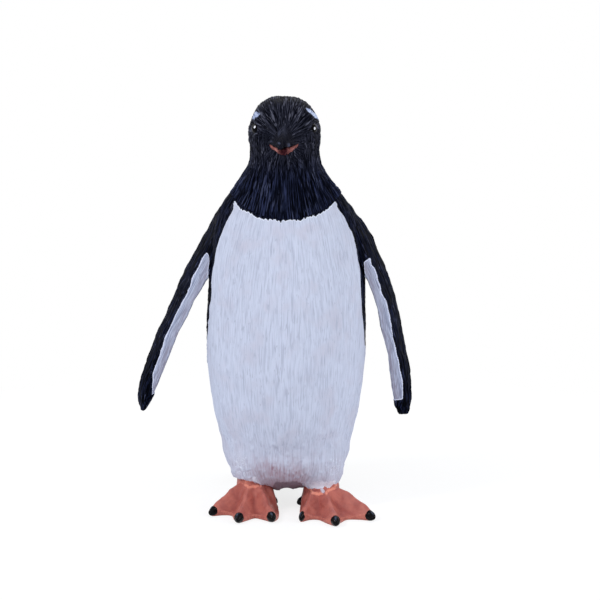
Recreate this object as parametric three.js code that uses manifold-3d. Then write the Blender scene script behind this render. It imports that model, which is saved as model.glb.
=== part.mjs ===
// A standing penguin figurine, about 82 mm tall, made of moulded plastic pieces that are glued together.
// The torso is a hollow front shell and a hollow back shell with the tail. The head and hood are one
// cap whose spigot drops into the neck of the torso. The flippers and the feet are plugged in by pegs,
// and the eyes are beads on stems.
// Units are millimetres. +Z is up and the bird faces -Y. Left and right are the bird's own, so its left
// side is at +X.

import * as THREE from 'three';
import { mergeVertices } from 'three/addons/utils/BufferGeometryUtils.js';
import Module from 'manifold-3d';

const wasm = await Module();
wasm.setup();

// Moulding
const wall = 2.2; // thickness of the torso shells
const fit = 0.3; // gap between two glued pieces
const pegSides = 16; // facets round a peg, a bore or a stem

// The body is a smooth skin through these cross sections, from the lowest up. Each one lies a rise above
// the one before it (the first above the ground), reaches front and back from the upright axis, is
// shifted sideways by lean, and meets the line between the two shells at parting, forward of the axis.
const sections = {
  rump: { rise: 11, halfWidth: 12.8, front: 13, back: 12.4, lean: 0, parting: -6 },
  thigh: { rise: 7.4, halfWidth: 14.3, front: 15.2, back: 13.3, lean: 0, parting: -4.3 },
  loin: { rise: 7.4, halfWidth: 15.4, front: 16.2, back: 13.4, lean: 0, parting: -1.2 },
  belly: { rise: 8.2, halfWidth: 15.9, front: 16.3, back: 13, lean: 0, parting: 3.2 },
  ribs: { rise: 9, halfWidth: 15.7, front: 15.4, back: 12.6, lean: 0, parting: 4.9 },
  chest: { rise: 7, halfWidth: 15.1, front: 13.8, back: 12.1, lean: 0, parting: 5 },
  shoulder: { rise: 6, halfWidth: 14, front: 11.7, back: 11.1, lean: 0, parting: 5.6 },
  collar: { rise: 4, halfWidth: 12.7, front: 10, back: 9.9, lean: -0.1, parting: 5.4 },
  nape: { rise: 4, halfWidth: 9.8, front: 8.3, back: 8.4, lean: -0.2, parting: 5.4 },
  throat: { rise: 4, halfWidth: 7.4, front: 7.7, back: 7.5, lean: -0.3, parting: 5.4 },
  jaw: { rise: 2.6, halfWidth: 6.85, front: 8, back: 7.5, lean: -0.3, parting: 5.4 },
  brow: { rise: 3.6, halfWidth: 7.1, front: 8.9, back: 8, lean: -0.35, parting: 5.4 },
};
const rumpDrop = 8; // how far the underside hangs below the rump section
const crownRise = 7.5; // how far the crown rises above the brow section
const bodySides = 36; // facets round the skin
const rowPitch = 3.1; // height of one row of facets
const hollowSides = 18;
const hollowRowPitch = 6.2;
const domeRows = 6; // rows in each rounded end
const domeFullness = 0.88; // below 1, an end is fuller than an ellipse

// The head cap meets the shells along a curve that dips on the breast and rises to the shoulders
const seamBelowCollar = 1.7; // lowest point of the seam, below the collar section
const seamRise = 3.3; // height that the seam gains ...
const seamReach = 9.8; // ... this far out from the middle
const spigotDepth = 3; // how far the spigot reaches down from the seam's lowest point
const spigotWall = 1.4;
const seamSteps = 16;
const neckCavityTop = 6; // top of the hollow, above the nape section

// Round pins on the front shell plug into bosses on the back shell
const locator = { radius: 1.5, bossWall: 1.4, bite: 5, mouthBehindAxis: 2, tipClearance: 1 };
const lowerLocatorAboveRump = 10;
const upperLocatorAboveRump = 35;

// Legs: short thighs under the belly that end in a flat cuff round each foot's ankle
const cuffHeight = 5.2;
const leg = { halfWidth: 4.9, halfDepth: 5.2, halfHeight: 7.5, middleHeight: 10 };
const legSides = 20;
const rowsPerSide = 0.6; // rows of facets on a thigh or a bead, for each facet round it
const anklePeg = { radius: 1.7, depth: 4.6 };
const cavityAboveRump = 0.6; // floor of the torso's hollow, above the rump section

// Feet: each toe is given by how far the claw's middle lies from the ankle's axis, and by its angle out
// from straight ahead
const footPair = {
  left: {
    side: 1,
    ankleOut: 6.9,
    ankleForward: 6.2,
    toes: {
      inner: { reach: 11.8, splay: -18.5 },
      middle: { reach: 14.6, splay: 11 },
      outer: { reach: 14.1, splay: 43 },
    },
  },
  right: {
    side: -1,
    ankleOut: 6.4,
    ankleForward: 5.5,
    toes: {
      inner: { reach: 12.6, splay: -17 },
      middle: { reach: 13, splay: 12 },
      outer: { reach: 10.9, splay: 46 },
    },
  },
};
const ankle = { halfWidth: 3.3, halfDepth: 3.5 };
const heelBack = 7.6; // from the ankle's axis to the back of the heel
const heelShape = { out: 0.85, back: 0.55 }; // its corners, in ankle half widths and heel backs
const toeHalfWidth = 1.25;
const toeHeight = 1.7; // at the root of the claw
const webHeight = 0.9; // at the free edge of the web
const webRecess = 2.2; // how far the web's edge stays behind the toe tips
const soleInset = 0.3; // the sole's edge is rounded in by this much
const claw = { halfWidth: 0.95, halfLength: 1.35, halfHeight: 0.95, middleHeight: 1.05, sides: 8, rows: 6 };
const hallux = { out: 3.6, forward: 0.8, height: 1.4, radius: 1, splay: -60 }; // the small hind toe's claw
const outlineSteps = 48;
const footRings = [0, 0.18, 0.4, 0.64, 0.85, 1]; // shares of the way from the ankle to the rim
const instepHollow = 1.7; // 1 would be a straight slope from the ankle to the rim
const toeRelief = { strength: 4, balance: 0.4 }; // ridges along the toes, and hollows between them

// Flippers: a spine from the shoulder to the tip, by how far each point lies out from the shoulder
// section's widest point, behind the axis and above that section. The chord runs from the leading to the
// trailing edge, and the twist turns the underside forwards.
const flipperPair = {
  left: {
    side: 1,
    spine: [[-3.2, 0.4, 4.8], [1.4, 0.8, -3.4], [5.3, 1.2, -13.1], [7.8, 1.7, -22.8], [9.2, 2.2, -32.6],
      [9.4, 2.5, -39.2]],
  },
  right: {
    side: -1,
    spine: [[-3.4, 0.4, 4.8], [1, 0.8, -3.4], [5.4, 1.2, -13.1], [10.1, 1.7, -22.8], [13.7, 2.2, -32.6],
      [15.1, 2.5, -38.4]],
  },
};
const flipper = { rootChord: 9, midChord: 10.8, tipChord: 6.6, rootThick: 3.6, tipThick: 2, twist: 27 };
// Along the spine, a share from 0 at the root to 1 at the tip: the blade has widened fully by the first,
// narrows from the second, and its thickness, its tip's roundness and its row spacing go by powers
const flipperShape = { widenedBy: 0.4, narrowsFrom: 0.35, thinning: 0.6, tipRoundness: 8, rowEase: 0.9 };
const trailingThinness = 0.22; // how much thinner the trailing edge is than the middle
const flipperRows = 14;
const flipperSides = 14;
const flipperSteps = 200; // fineness with which a height is looked up along the spine
const peg = { depth: 3, height: 3.6, belowShoulder: 3.7, behindAxis: 1, pastWall: 1 };

// Tail: a flat wedge that slopes from the rump to the ground
const tail = { rootWidth: 15, tipWidth: 5, rootThick: 7.6, tipThick: 1.6, reach: 9.4, rootAboveRump: 3.4 };
const tailShape = { narrowing: 0.8, thinning: 0.6, edgeFullness: 0.8, faceFullness: 0.9 };
const tailRows = 6;
const tailSides = 14;

// Head: the bill is part of the cap, and each eye is a bead on a stem
const bill = { length: 7.2, gapeHalfWidth: 3.1, halfHeight: 2.3, drop: 1.9, belowBrow: 0.4, sunk: 3 };
const billShape = { taper: 0.82, taperPower: 1.4, hookPower: 1.5, rows: 6, sides: 12 };
const eye = { radius: 1.3, aboveBrow: 1.4, angle: 64, sunk: 0.5, stemRadius: 0.6, stemLength: 3, sides: 12 };

const paint = {
  black: { color: 0x17181c, roughness: 0.42 },
  white: { color: 0xdfe2ea, roughness: 0.55 },
  orange: { color: 0xc4674e, roughness: 0.5 },
  gloss: { color: 0x050506, roughness: 0.08 },
};

// A closed mesh as a solid that can be joined and cut
function solidOf(geometry) {
  const bare = geometry.clone();
  bare.deleteAttribute('normal');
  bare.deleteAttribute('uv');
  const merged = mergeVertices(bare, 1e-4);
  return new wasm.Manifold(new wasm.Mesh({
    numProp: 3,
    vertProperties: new Float32Array(merged.attributes.position.array),
    triVerts: new Uint32Array(merged.index.array),
  }));
}

function geometryOf(solid) {
  const mesh = solid.getMesh();
  const geometry = new THREE.BufferGeometry();
  geometry.setAttribute('position', new THREE.BufferAttribute(mesh.vertProperties, 3));
  geometry.setIndex(new THREE.BufferAttribute(mesh.triVerts, 1));
  geometry.computeVertexNormals();
  return geometry;
}

// A closed skin through rings of equally many points, with a fan at each end
function loft(rings, firstTip, lastTip) {
  const around = rings[0].length;
  const points = [...rings.flat(), firstTip, lastTip];
  const faces = [];
  for (let row = 0; row < rings.length - 1; row++) {
    for (let k = 0; k < around; k++) {
      const next = (k + 1) % around;
      const [a, b] = [row * around + k, row * around + next];
      faces.push([a, b, b + around], [a, b + around, a + around]);
    }
  }
  const first = rings.length * around;
  const lastRow = (rings.length - 1) * around;
  for (let k = 0; k < around; k++) {
    const next = (k + 1) % around;
    faces.push([first, next, k], [first + 1, lastRow + k, lastRow + next]);
  }
  const volume = faces.reduce((sum, [a, b, c]) => {
    const edge = new THREE.Vector3().crossVectors(points[b], points[c]);
    return sum + points[a].dot(edge) / 6;
  }, 0);
  const outward = volume < 0 ? faces.map(([a, b, c]) => [a, c, b]) : faces;
  const geometry = new THREE.BufferGeometry().setFromPoints(points);
  geometry.setIndex(outward.flat());
  return solidOf(geometry);
}

function middleOf(ring) {
  return ring.reduce((sum, p) => sum.add(p), new THREE.Vector3()).divideScalar(ring.length);
}

function box(low, high) {
  const size = new THREE.Vector3().subVectors(high, low);
  const middle = new THREE.Vector3().addVectors(low, high).multiplyScalar(0.5);
  return solidOf(new THREE.BoxGeometry(size.x, size.y, size.z).translate(middle.x, middle.y, middle.z));
}

// A round bar between two points
function bar(from, to, radius) {
  const along = new THREE.Vector3().subVectors(to, from);
  const upright = new THREE.Vector3(0, 1, 0);
  const turn = new THREE.Quaternion().setFromUnitVectors(upright, along.clone().normalize());
  const middle = new THREE.Vector3().addVectors(from, to).multiplyScalar(0.5);
  const geometry = new THREE.CylinderGeometry(radius, radius, along.length(), pegSides);
  return solidOf(geometry.applyQuaternion(turn).translate(middle.x, middle.y, middle.z));
}

function ellipsoid(middle, radii, sides) {
  const rows = Math.round(sides * rowsPerSide);
  const geometry = new THREE.SphereGeometry(1, sides, rows).scale(radii.x, radii.y, radii.z);
  return solidOf(geometry.translate(middle.x, middle.y, middle.z));
}

// Body skin

const stack = [];
for (const [name, section] of Object.entries(sections)) {
  const below = stack.length ? stack.at(-1).height : 0;
  stack.push({ name, height: below + section.rise, ...section });
}
const heightOf = Object.fromEntries(stack.map((s) => [s.name, s.height]));
const lowest = stack[0];
const highest = stack.at(-1);
const crown = highest.height + crownRise;
const far = 2 * crown; // well outside the figurine

function slopeAt(i, key) {
  if (i === 0 || i === stack.length - 1) return 0;
  const [a, b, c] = [stack[i - 1], stack[i], stack[i + 1]];
  const below = (b[key] - a[key]) / (b.height - a.height);
  const above = (c[key] - b[key]) / (c.height - b.height);
  return (below * (c.height - b.height) + above * (b.height - a.height)) / (c.height - a.height);
}

// One of the body's sizes at any height, on a smooth curve through the sections
function sizeAt(key, height) {
  const level = THREE.MathUtils.clamp(height, lowest.height, highest.height);
  const i = Math.min(stack.findLastIndex((s) => s.height <= level), stack.length - 2);
  const span = stack[i + 1].height - stack[i].height;
  const t = (level - stack[i].height) / span;
  const ease = t * t * (3 - 2 * t);
  const bend = slopeAt(i, key) * t * (1 - t) ** 2 - slopeAt(i + 1, key) * t * t * (1 - t);
  return stack[i][key] * (1 - ease) + stack[i + 1][key] * ease + bend * span;
}

// A point of the skin at an angle from straight ahead towards the bird's left, grown outwards by grow.
// share narrows the section in the rounded ends.
function skinPoint(height, angle, grow, share = 1) {
  const ahead = Math.cos(angle);
  const reach = sizeAt(ahead > 0 ? 'front' : 'back', height) + grow;
  const across = (sizeAt('halfWidth', height) + grow) * Math.sin(angle);
  return new THREE.Vector3(sizeAt('lean', height) + share * across, -share * reach * ahead, height);
}

function skinRing(height, grow, share, sides) {
  return Array.from({ length: sides }, (_, k) => {
    const point = skinPoint(THREE.MathUtils.clamp(height, lowest.height, highest.height),
      (2 * Math.PI * k) / sides, grow, share);
    return point.setZ(height);
  });
}

// The whole outer form with its rounded underside and crown
function bodySolid(grow) {
  const rings = [];
  for (let i = 1; i < domeRows; i++) {
    const turn = (Math.PI / 2) * (1 - i / domeRows);
    const share = Math.cos(turn) ** domeFullness;
    rings.push(skinRing(lowest.height - (rumpDrop + grow) * Math.sin(turn), grow, share, bodySides));
  }
  const rows = Math.round((highest.height - lowest.height) / rowPitch);
  for (let i = 0; i <= rows; i++) {
    const height = lowest.height + ((highest.height - lowest.height) * i) / rows;
    rings.push(skinRing(height, grow, 1, bodySides));
  }
  for (let i = 1; i < domeRows; i++) {
    const turn = (Math.PI / 2) * (i / domeRows);
    const share = Math.cos(turn) ** domeFullness;
    rings.push(skinRing(highest.height + (crownRise + grow) * Math.sin(turn), grow, share, bodySides));
  }
  const underside = new THREE.Vector3(lowest.lean, 0, lowest.height - rumpDrop - grow);
  const top = new THREE.Vector3(highest.lean, 0, crown + grow);
  return loft(rings, underside, top);
}

// The inside of the body, shrunk by inset, between two heights
function hollow(inset, low, high) {
  const rows = Math.max(2, Math.round((high - low) / hollowRowPitch));
  const rings = Array.from({ length: rows + 1 }, (_, i) => (
    skinRing(low + ((high - low) * i) / rows, -inset, 1, hollowSides)));
  return loft(rings, middleOf(rings[0]), middleOf(rings.at(-1)));
}

// Where the pieces part

const seamHeight = heightOf.collar - seamBelowCollar;

// Everything above the curve where the head cap meets the shells, raised by lift
function aboveSeam(lift) {
  const shape = new THREE.Shape();
  const half = sections.chest.halfWidth + wall;
  shape.moveTo(half, far);
  shape.lineTo(-half, far);
  for (let i = 0; i <= seamSteps; i++) {
    const x = THREE.MathUtils.lerp(-half, half, i / seamSteps);
    shape.lineTo(x, seamHeight + lift + seamRise * (x / seamReach) ** 2);
  }
  const prism = new THREE.ExtrudeGeometry(shape, { depth: 2 * far, bevelEnabled: false });
  const [x, y, z] = [new THREE.Vector3(1, 0, 0), new THREE.Vector3(0, 0, 1), new THREE.Vector3(0, -1, 0)];
  prism.applyMatrix4(new THREE.Matrix4().makeBasis(x, y, z));
  return solidOf(prism.translate(0, far, 0));
}

// Everything in front of the line where the two shells meet, pushed back by shift
function frontOfParting(shift) {
  const shape = new THREE.Shape();
  shape.moveTo(-far, -far);
  shape.lineTo(shift - lowest.parting, -far);
  for (let height = lowest.height; height < highest.height; height += rowPitch) {
    shape.lineTo(shift - sizeAt('parting', height), height);
  }
  shape.lineTo(shift - highest.parting, far);
  shape.lineTo(-far, far);
  const prism = new THREE.ExtrudeGeometry(shape, { depth: 2 * far, bevelEnabled: false });
  const [x, y, z] = [new THREE.Vector3(0, 1, 0), new THREE.Vector3(0, 0, 1), new THREE.Vector3(1, 0, 0)];
  prism.applyMatrix4(new THREE.Matrix4().makeBasis(x, y, z));
  return solidOf(prism.translate(-far, 0, 0));
}

const aboveGround = box(new THREE.Vector3(-far, -far, 0), new THREE.Vector3(far, far, far));

// Legs and tail, which are moulded with the shells

function legSolid({ side, ankleOut, ankleForward }, grow) {
  const middle = new THREE.Vector3(side * ankleOut, -ankleForward, leg.middleHeight);
  const radii = new THREE.Vector3(leg.halfWidth, leg.halfDepth, leg.halfHeight).addScalar(grow);
  const thigh = ellipsoid(middle, radii, legSides);
  const kept = new THREE.Vector3(-far, -far, cuffHeight - grow);
  return thigh.intersect(box(kept, new THREE.Vector3(far, far, far)));
}

function tailSolid() {
  const rootBack = sections.rump.back - tail.rootThick / 2;
  const root = new THREE.Vector3(0, rootBack, heightOf.rump + tail.rootAboveRump);
  const tip = new THREE.Vector3(0, sections.rump.back + tail.reach, 0);
  const along = new THREE.Vector3().subVectors(tip, root).normalize();
  const across = new THREE.Vector3(1, 0, 0);
  const up = new THREE.Vector3().crossVectors(across, along);
  const rings = Array.from({ length: tailRows + 1 }, (_, row) => {
    const t = row / tailRows;
    const middle = new THREE.Vector3().lerpVectors(root, tip, t);
    const halfWidth = THREE.MathUtils.lerp(tail.rootWidth, tail.tipWidth, t ** tailShape.narrowing) / 2;
    const halfThick = THREE.MathUtils.lerp(tail.rootThick, tail.tipThick, t ** tailShape.thinning) / 2;
    return Array.from({ length: tailSides }, (_, k) => {
      const turn = (2 * Math.PI * k) / tailSides;
      const out = Math.sign(Math.cos(turn)) * Math.abs(Math.cos(turn)) ** tailShape.edgeFullness;
      const rise = Math.sign(Math.sin(turn)) * Math.abs(Math.sin(turn)) ** tailShape.faceFullness;
      return middle.clone().addScaledVector(across, halfWidth * out).addScaledVector(up, halfThick * rise);
    });
  });
  const beyond = tip.clone().addScaledVector(along, tail.tipThick / 2);
  return loft(rings, middleOf(rings[0]), beyond).intersect(aboveGround);
}

// Torso shells

const seamLift = fit / 2;
let outerForm = bodySolid(0).add(tailSolid());
for (const foot of Object.values(footPair)) outerForm = outerForm.add(legSolid(foot, 0));
const torsoHollow = hollow(wall, heightOf.rump + cavityAboveRump, heightOf.nape + rowPitch);
const torso = outerForm.subtract(torsoHollow).subtract(aboveSeam(-seamLift));

const locatorHeights = [lowerLocatorAboveRump, upperLocatorAboveRump].map((rise) => heightOf.rump + rise);
const onAxis = (behind, height) => new THREE.Vector3(0, behind, height);

function bellyShell() {
  let shell = torso.intersect(frontOfParting(-fit / 2));
  for (const height of locatorHeights) {
    const base = onAxis(-(sizeAt('front', height) - wall / 2), height);
    const tip = onAxis(locator.mouthBehindAxis + locator.bite, height);
    shell = shell.add(bar(base, tip, locator.radius));
  }
  for (const foot of Object.values(footPair)) {
    const [x, y] = [foot.side * foot.ankleOut, -foot.ankleForward];
    const mouth = new THREE.Vector3(x, y, cuffHeight - wall);
    const end = new THREE.Vector3(x, y, cuffHeight + anklePeg.depth + fit);
    shell = shell.subtract(bar(mouth, end, anklePeg.radius + fit));
  }
  return shell;
}

function spineOf({ side, spine }) {
  return new THREE.CatmullRomCurve3(spine.map(([out, behind, rise]) => (
    new THREE.Vector3(side * (sections.shoulder.halfWidth + out), behind, heightOf.shoulder + rise))));
}

// The flipper's square peg runs from the middle of the blade through the wall
function pegBox(flipperSpec, grow) {
  const { side } = flipperSpec;
  const height = heightOf.shoulder - peg.belowShoulder;
  const onSpine = spineOf(flipperSpec).getPoints(flipperSteps).find((p) => p.z <= height);
  const out = onSpine.x;
  const near = side * (sizeAt('halfWidth', height) - wall - peg.pastWall);
  const [halfDepth, halfHeight] = [peg.depth / 2, peg.height / 2];
  const low = new THREE.Vector3(Math.min(near, out), peg.behindAxis - halfDepth, height - halfHeight);
  const high = new THREE.Vector3(Math.max(near, out), peg.behindAxis + halfDepth, height + halfHeight);
  return box(low.subScalar(grow), high.addScalar(grow));
}

function backShell() {
  let shell = torso.subtract(frontOfParting(fit / 2));
  for (const height of locatorHeights) {
    const mouth = onAxis(locator.mouthBehindAxis, height);
    const root = onAxis(sizeAt('back', height) - wall / 2, height);
    const end = onAxis(locator.mouthBehindAxis + locator.bite + locator.tipClearance, height);
    const boss = bar(mouth, root, locator.radius + fit + locator.bossWall);
    const before = onAxis(-locator.tipClearance, height);
    shell = shell.add(boss).subtract(bar(before, end, locator.radius + fit));
  }
  for (const spec of Object.values(flipperPair)) shell = shell.subtract(pegBox(spec, fit));
  return shell;
}

// Head cap

function billSolid() {
  const base = -(sections.brow.front - bill.sunk);
  const reach = bill.length + bill.sunk;
  const rings = Array.from({ length: billShape.rows }, (_, row) => {
    const t = row / billShape.rows;
    const narrow = 1 - billShape.taper * t ** billShape.taperPower;
    const middle = heightOf.brow - bill.belowBrow - bill.drop * t ** billShape.hookPower;
    return Array.from({ length: billShape.sides }, (_, k) => {
      const turn = (2 * Math.PI * k) / billShape.sides;
      const x = sections.brow.lean + bill.gapeHalfWidth * narrow * Math.cos(turn);
      return new THREE.Vector3(x, base - reach * t, middle + bill.halfHeight * narrow * Math.sin(turn));
    });
  });
  const tipHeight = heightOf.brow - bill.belowBrow - bill.drop;
  const tip = new THREE.Vector3(sections.brow.lean, base - reach, tipHeight);
  return loft(rings, middleOf(rings[0]), tip);
}

// The bead's middle, and the direction out of the head there
function eyeSeat(side) {
  const height = heightOf.brow + eye.aboveBrow;
  const share = Math.sqrt(1 - (eye.aboveBrow / crownRise) ** 2) ** domeFullness;
  const angle = THREE.MathUtils.degToRad(side * eye.angle);
  const surface = skinPoint(heightOf.brow, angle, 0, share).setZ(height);
  const out = new THREE.Vector3(Math.sin(angle), -Math.cos(angle), eye.aboveBrow / crownRise).normalize();
  return { middle: surface.addScaledVector(out, -eye.sunk), out };
}

function eyeBead(side, grow) {
  const { middle, out } = eyeSeat(side);
  const stemEnd = middle.clone().addScaledVector(out, -(eye.stemLength + grow));
  const radius = eye.radius + grow;
  const bead = ellipsoid(middle, new THREE.Vector3(radius, radius, radius), eye.sides);
  return bead.add(bar(stemEnd, middle, eye.stemRadius + grow));
}

function headCap() {
  const inset = wall + fit;
  const spigotFoot = seamHeight - spigotDepth;
  const plug = hollow(inset, spigotFoot, heightOf.nape + rowPitch).subtract(aboveSeam(wall));
  const cavity = hollow(inset + spigotWall, spigotFoot - wall, heightOf.nape + neckCavityTop);
  let cap = bodySolid(0).intersect(aboveSeam(seamLift)).add(plug).add(billSolid()).subtract(cavity);
  for (const side of [1, -1]) cap = cap.subtract(eyeBead(side, fit));
  return cap;
}

// Flippers

function flipperSolid(spec) {
  const { side } = spec;
  const curve = spineOf(spec);
  const twist = THREE.MathUtils.degToRad(flipper.twist);
  const rings = [];
  for (let row = 0; row < flipperRows; row++) {
    const t = Math.sin(((Math.PI / 2) * row) / flipperRows) ** flipperShape.rowEase;
    const tangent = curve.getTangentAt(t);
    const back = new THREE.Vector3(0, 1, 0).addScaledVector(tangent, -tangent.y).normalize();
    const inward = new THREE.Vector3().crossVectors(tangent, back).multiplyScalar(side);
    const chordWay = back.clone().multiplyScalar(Math.cos(twist)).addScaledVector(inward, Math.sin(twist));
    const thickWay = inward.clone().multiplyScalar(Math.cos(twist)).addScaledVector(back, -Math.sin(twist));
    const { lerp, smoothstep } = THREE.MathUtils;
    const rounded = Math.sqrt(1 - t ** flipperShape.tipRoundness);
    const widened = lerp(flipper.rootChord, flipper.midChord, smoothstep(t, 0, flipperShape.widenedBy));
    const chord = lerp(widened, flipper.tipChord, smoothstep(t, flipperShape.narrowsFrom, 1));
    const thick = lerp(flipper.rootThick, flipper.tipThick, t ** flipperShape.thinning);
    const middle = curve.getPointAt(t);
    rings.push(Array.from({ length: flipperSides }, (_, k) => {
      const turn = (2 * Math.PI * k) / flipperSides;
      const taper = 1 - trailingThinness * (1 + Math.cos(turn));
      return middle.clone()
        .addScaledVector(chordWay, (chord / 2) * rounded * Math.cos(turn))
        .addScaledVector(thickWay, (thick / 2) * rounded * taper * Math.sin(turn));
    }));
  }
  const blade = loft(rings, middleOf(rings[0]), curve.getPointAt(1)).subtract(bodySolid(fit));
  const outside = blade.decompose().sort((a, b) => b.volume() - a.volume())[0];
  return outside.add(pegBox(spec, 0));
}

// Feet

function footSolid(spec) {
  const { side, ankleOut, ankleForward } = spec;
  const toes = [spec.toes.inner, spec.toes.middle, spec.toes.outer];
  const middle = new THREE.Vector2(side * ankleOut, -ankleForward);
  const way = (splay) => {
    const turn = THREE.MathUtils.degToRad(splay);
    return new THREE.Vector2(side * Math.sin(turn), -Math.cos(turn));
  };
  const outward = new THREE.Vector2(side, 0);
  const heelCorner = (outer) => (
    new THREE.Vector2(outer * side * ankle.halfWidth * heelShape.out, heelBack * heelShape.back));
  const tips = toes.map(({ reach, splay }) => middle.clone().addScaledVector(way(splay), reach));

  // Outline seen from above, from the heel round the outer side to the inner one
  const outline = [
    middle.clone().add(new THREE.Vector2(0, heelBack)),
    middle.clone().add(heelCorner(1)),
    middle.clone().addScaledVector(outward, ankle.halfWidth + toeHalfWidth / 2),
  ];
  for (let i = toes.length - 1; i >= 0; i--) {
    const along = way(toes[i].splay);
    const aside = new THREE.Vector2(-along.y, along.x).multiplyScalar(side * toeHalfWidth);
    const knuckle = tips[i].clone().addScaledVector(along, -claw.halfLength);
    outline.push(knuckle.clone().add(aside), tips[i].clone().addScaledVector(along, claw.halfLength / 2));
    outline.push(knuckle.clone().sub(aside));
    if (i > 0) {
      const reach = (toes[i].reach + toes[i - 1].reach) / 2 - webRecess - claw.halfLength / 2;
      outline.push(middle.clone().addScaledVector(way((toes[i].splay + toes[i - 1].splay) / 2), reach));
    }
  }
  outline.push(middle.clone().addScaledVector(outward, -ankle.halfWidth - toeHalfWidth / 4));
  outline.push(middle.clone().add(heelCorner(-1)));
  const loop = new THREE.CatmullRomCurve3(outline.map((p) => new THREE.Vector3(p.x, p.y, 0)), true);
  const edge = loop.getSpacedPoints(outlineSteps).slice(0, -1);

  // The top falls from the ankle to that outline, with a ridge along each toe
  const ridgeAt = (x, y) => {
    const off = toes.map(({ splay, reach }) => {
      const along = way(splay);
      const [dx, dy] = [x - middle.x, y - middle.y];
      const ahead = THREE.MathUtils.clamp(dx * along.x + dy * along.y, 0, reach);
      return Math.hypot(dx - along.x * ahead, dy - along.y * ahead);
    });
    return Math.exp(-((Math.min(...off) / toeHalfWidth) ** 2));
  };
  const topHeight = cuffHeight + wall;
  const rings = footRings.map((t) => edge.map((p) => {
    const [dx, dy] = [p.x - middle.x, p.y - middle.y];
    const ankleReach = 1 / Math.hypot(dx / ankle.halfWidth, dy / ankle.halfDepth);
    const x = middle.x + dx * THREE.MathUtils.lerp(ankleReach, 1, t);
    const y = middle.y + dy * THREE.MathUtils.lerp(ankleReach, 1, t);
    const rim = THREE.MathUtils.lerp(webHeight, toeHeight, ridgeAt(p.x, p.y));
    const relief = toeRelief.strength * (toeHeight - webHeight) * (ridgeAt(x, y) - toeRelief.balance);
    const slope = (topHeight - rim) * (1 - t) ** instepHollow;
    return new THREE.Vector3(x, y, rim + slope + relief * t * (1 - t));
  }));
  const inset = 1 - soleInset / ankle.halfWidth / 2;
  rings.push(edge.map((p) => new THREE.Vector3(
    THREE.MathUtils.lerp(middle.x, p.x, inset), THREE.MathUtils.lerp(middle.y, p.y, inset), 0)));
  const top = new THREE.Vector3(middle.x, middle.y, topHeight);
  let foot = loft(rings, top, new THREE.Vector3(middle.x, middle.y, 0));

  const clawAt = (point, height, splay) => {
    const turn = THREE.MathUtils.degToRad(side * splay);
    const nail = new THREE.SphereGeometry(1, claw.sides, claw.rows);
    nail.scale(claw.halfWidth, claw.halfLength, claw.halfHeight).rotateZ(turn);
    return solidOf(nail.translate(point.x, point.y, height));
  };
  toes.forEach(({ splay }, i) => {
    foot = foot.add(clawAt(tips[i], claw.middleHeight, splay));
  });
  const hind = new THREE.Vector2(middle.x - side * hallux.out, middle.y - hallux.forward);
  const hindRoot = new THREE.Vector3(middle.x, hind.y, hallux.height);
  foot = foot.add(bar(hindRoot, new THREE.Vector3(hind.x, hind.y, hallux.height), hallux.radius));
  foot = foot.add(clawAt(hind, hallux.height, hallux.splay)).intersect(aboveGround);

  // Leave room for the body above, then add the peg that plugs into the leg
  foot = foot.subtract(bodySolid(fit)).subtract(legSolid({ side, ankleOut, ankleForward }, fit));
  foot = foot.decompose().sort((a, b) => b.volume() - a.volume())[0];
  const pegFoot = new THREE.Vector3(middle.x, middle.y, webHeight);
  const pegTop = new THREE.Vector3(middle.x, middle.y, cuffHeight + anklePeg.depth);
  return foot.add(bar(pegFoot, pegTop, anklePeg.radius));
}

// Assembly

const figurine = new THREE.Group();

function addPiece(name, solid, { color, roughness }) {
  const material = new THREE.MeshStandardMaterial({ color, roughness, metalness: 0 });
  const mesh = new THREE.Mesh(geometryOf(solid), material);
  mesh.name = name;
  figurine.add(mesh);
}

addPiece('belly_shell', bellyShell(), paint.white);
addPiece('back_shell', backShell(), paint.black);
addPiece('head_cap', headCap(), paint.black);
addPiece('left_eye_bead', eyeBead(1, 0), paint.gloss);
addPiece('right_eye_bead', eyeBead(-1, 0), paint.gloss);
for (const [name, spec] of Object.entries(flipperPair)) {
  addPiece(`${name}_flipper`, flipperSolid(spec), paint.black);
}
for (const [name, spec] of Object.entries(footPair)) {
  addPiece(`${name}_foot`, footSolid(spec), paint.orange);
}

// The origin is the middle of the figurine's footprint, on the ground
const extent = new THREE.Box3().setFromObject(figurine);
const centre = extent.getCenter(new THREE.Vector3());
figurine.position.set(-centre.x, -centre.y, -extent.min.z);

export default figurine;
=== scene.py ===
import math

import bpy
import numpy as np
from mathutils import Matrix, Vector


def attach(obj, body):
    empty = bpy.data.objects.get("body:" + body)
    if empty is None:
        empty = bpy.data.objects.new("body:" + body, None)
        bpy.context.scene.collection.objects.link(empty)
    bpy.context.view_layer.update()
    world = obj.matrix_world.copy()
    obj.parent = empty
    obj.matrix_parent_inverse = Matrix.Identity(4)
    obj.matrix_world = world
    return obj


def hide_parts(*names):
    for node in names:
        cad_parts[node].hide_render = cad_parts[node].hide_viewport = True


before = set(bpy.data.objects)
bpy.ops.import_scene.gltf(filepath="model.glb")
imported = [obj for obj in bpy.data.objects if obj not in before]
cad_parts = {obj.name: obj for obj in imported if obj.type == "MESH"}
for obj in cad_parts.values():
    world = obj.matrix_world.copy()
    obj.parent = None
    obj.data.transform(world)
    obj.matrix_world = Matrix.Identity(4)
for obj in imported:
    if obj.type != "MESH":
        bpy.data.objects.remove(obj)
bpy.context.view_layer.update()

# Shapes are worked out in millimetres round the bird's upright axis, then moved into the frame in metres.
# The bird faces -Y, and its left side is at +X. A turn is an angle from straight ahead towards its left.
mm = 0.001
standsAt = np.array([2.4336, -0.2597, 0.0])  # the upright axis in the frame, in millimetres
sides = {"left": 1, "right": -1}

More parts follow.
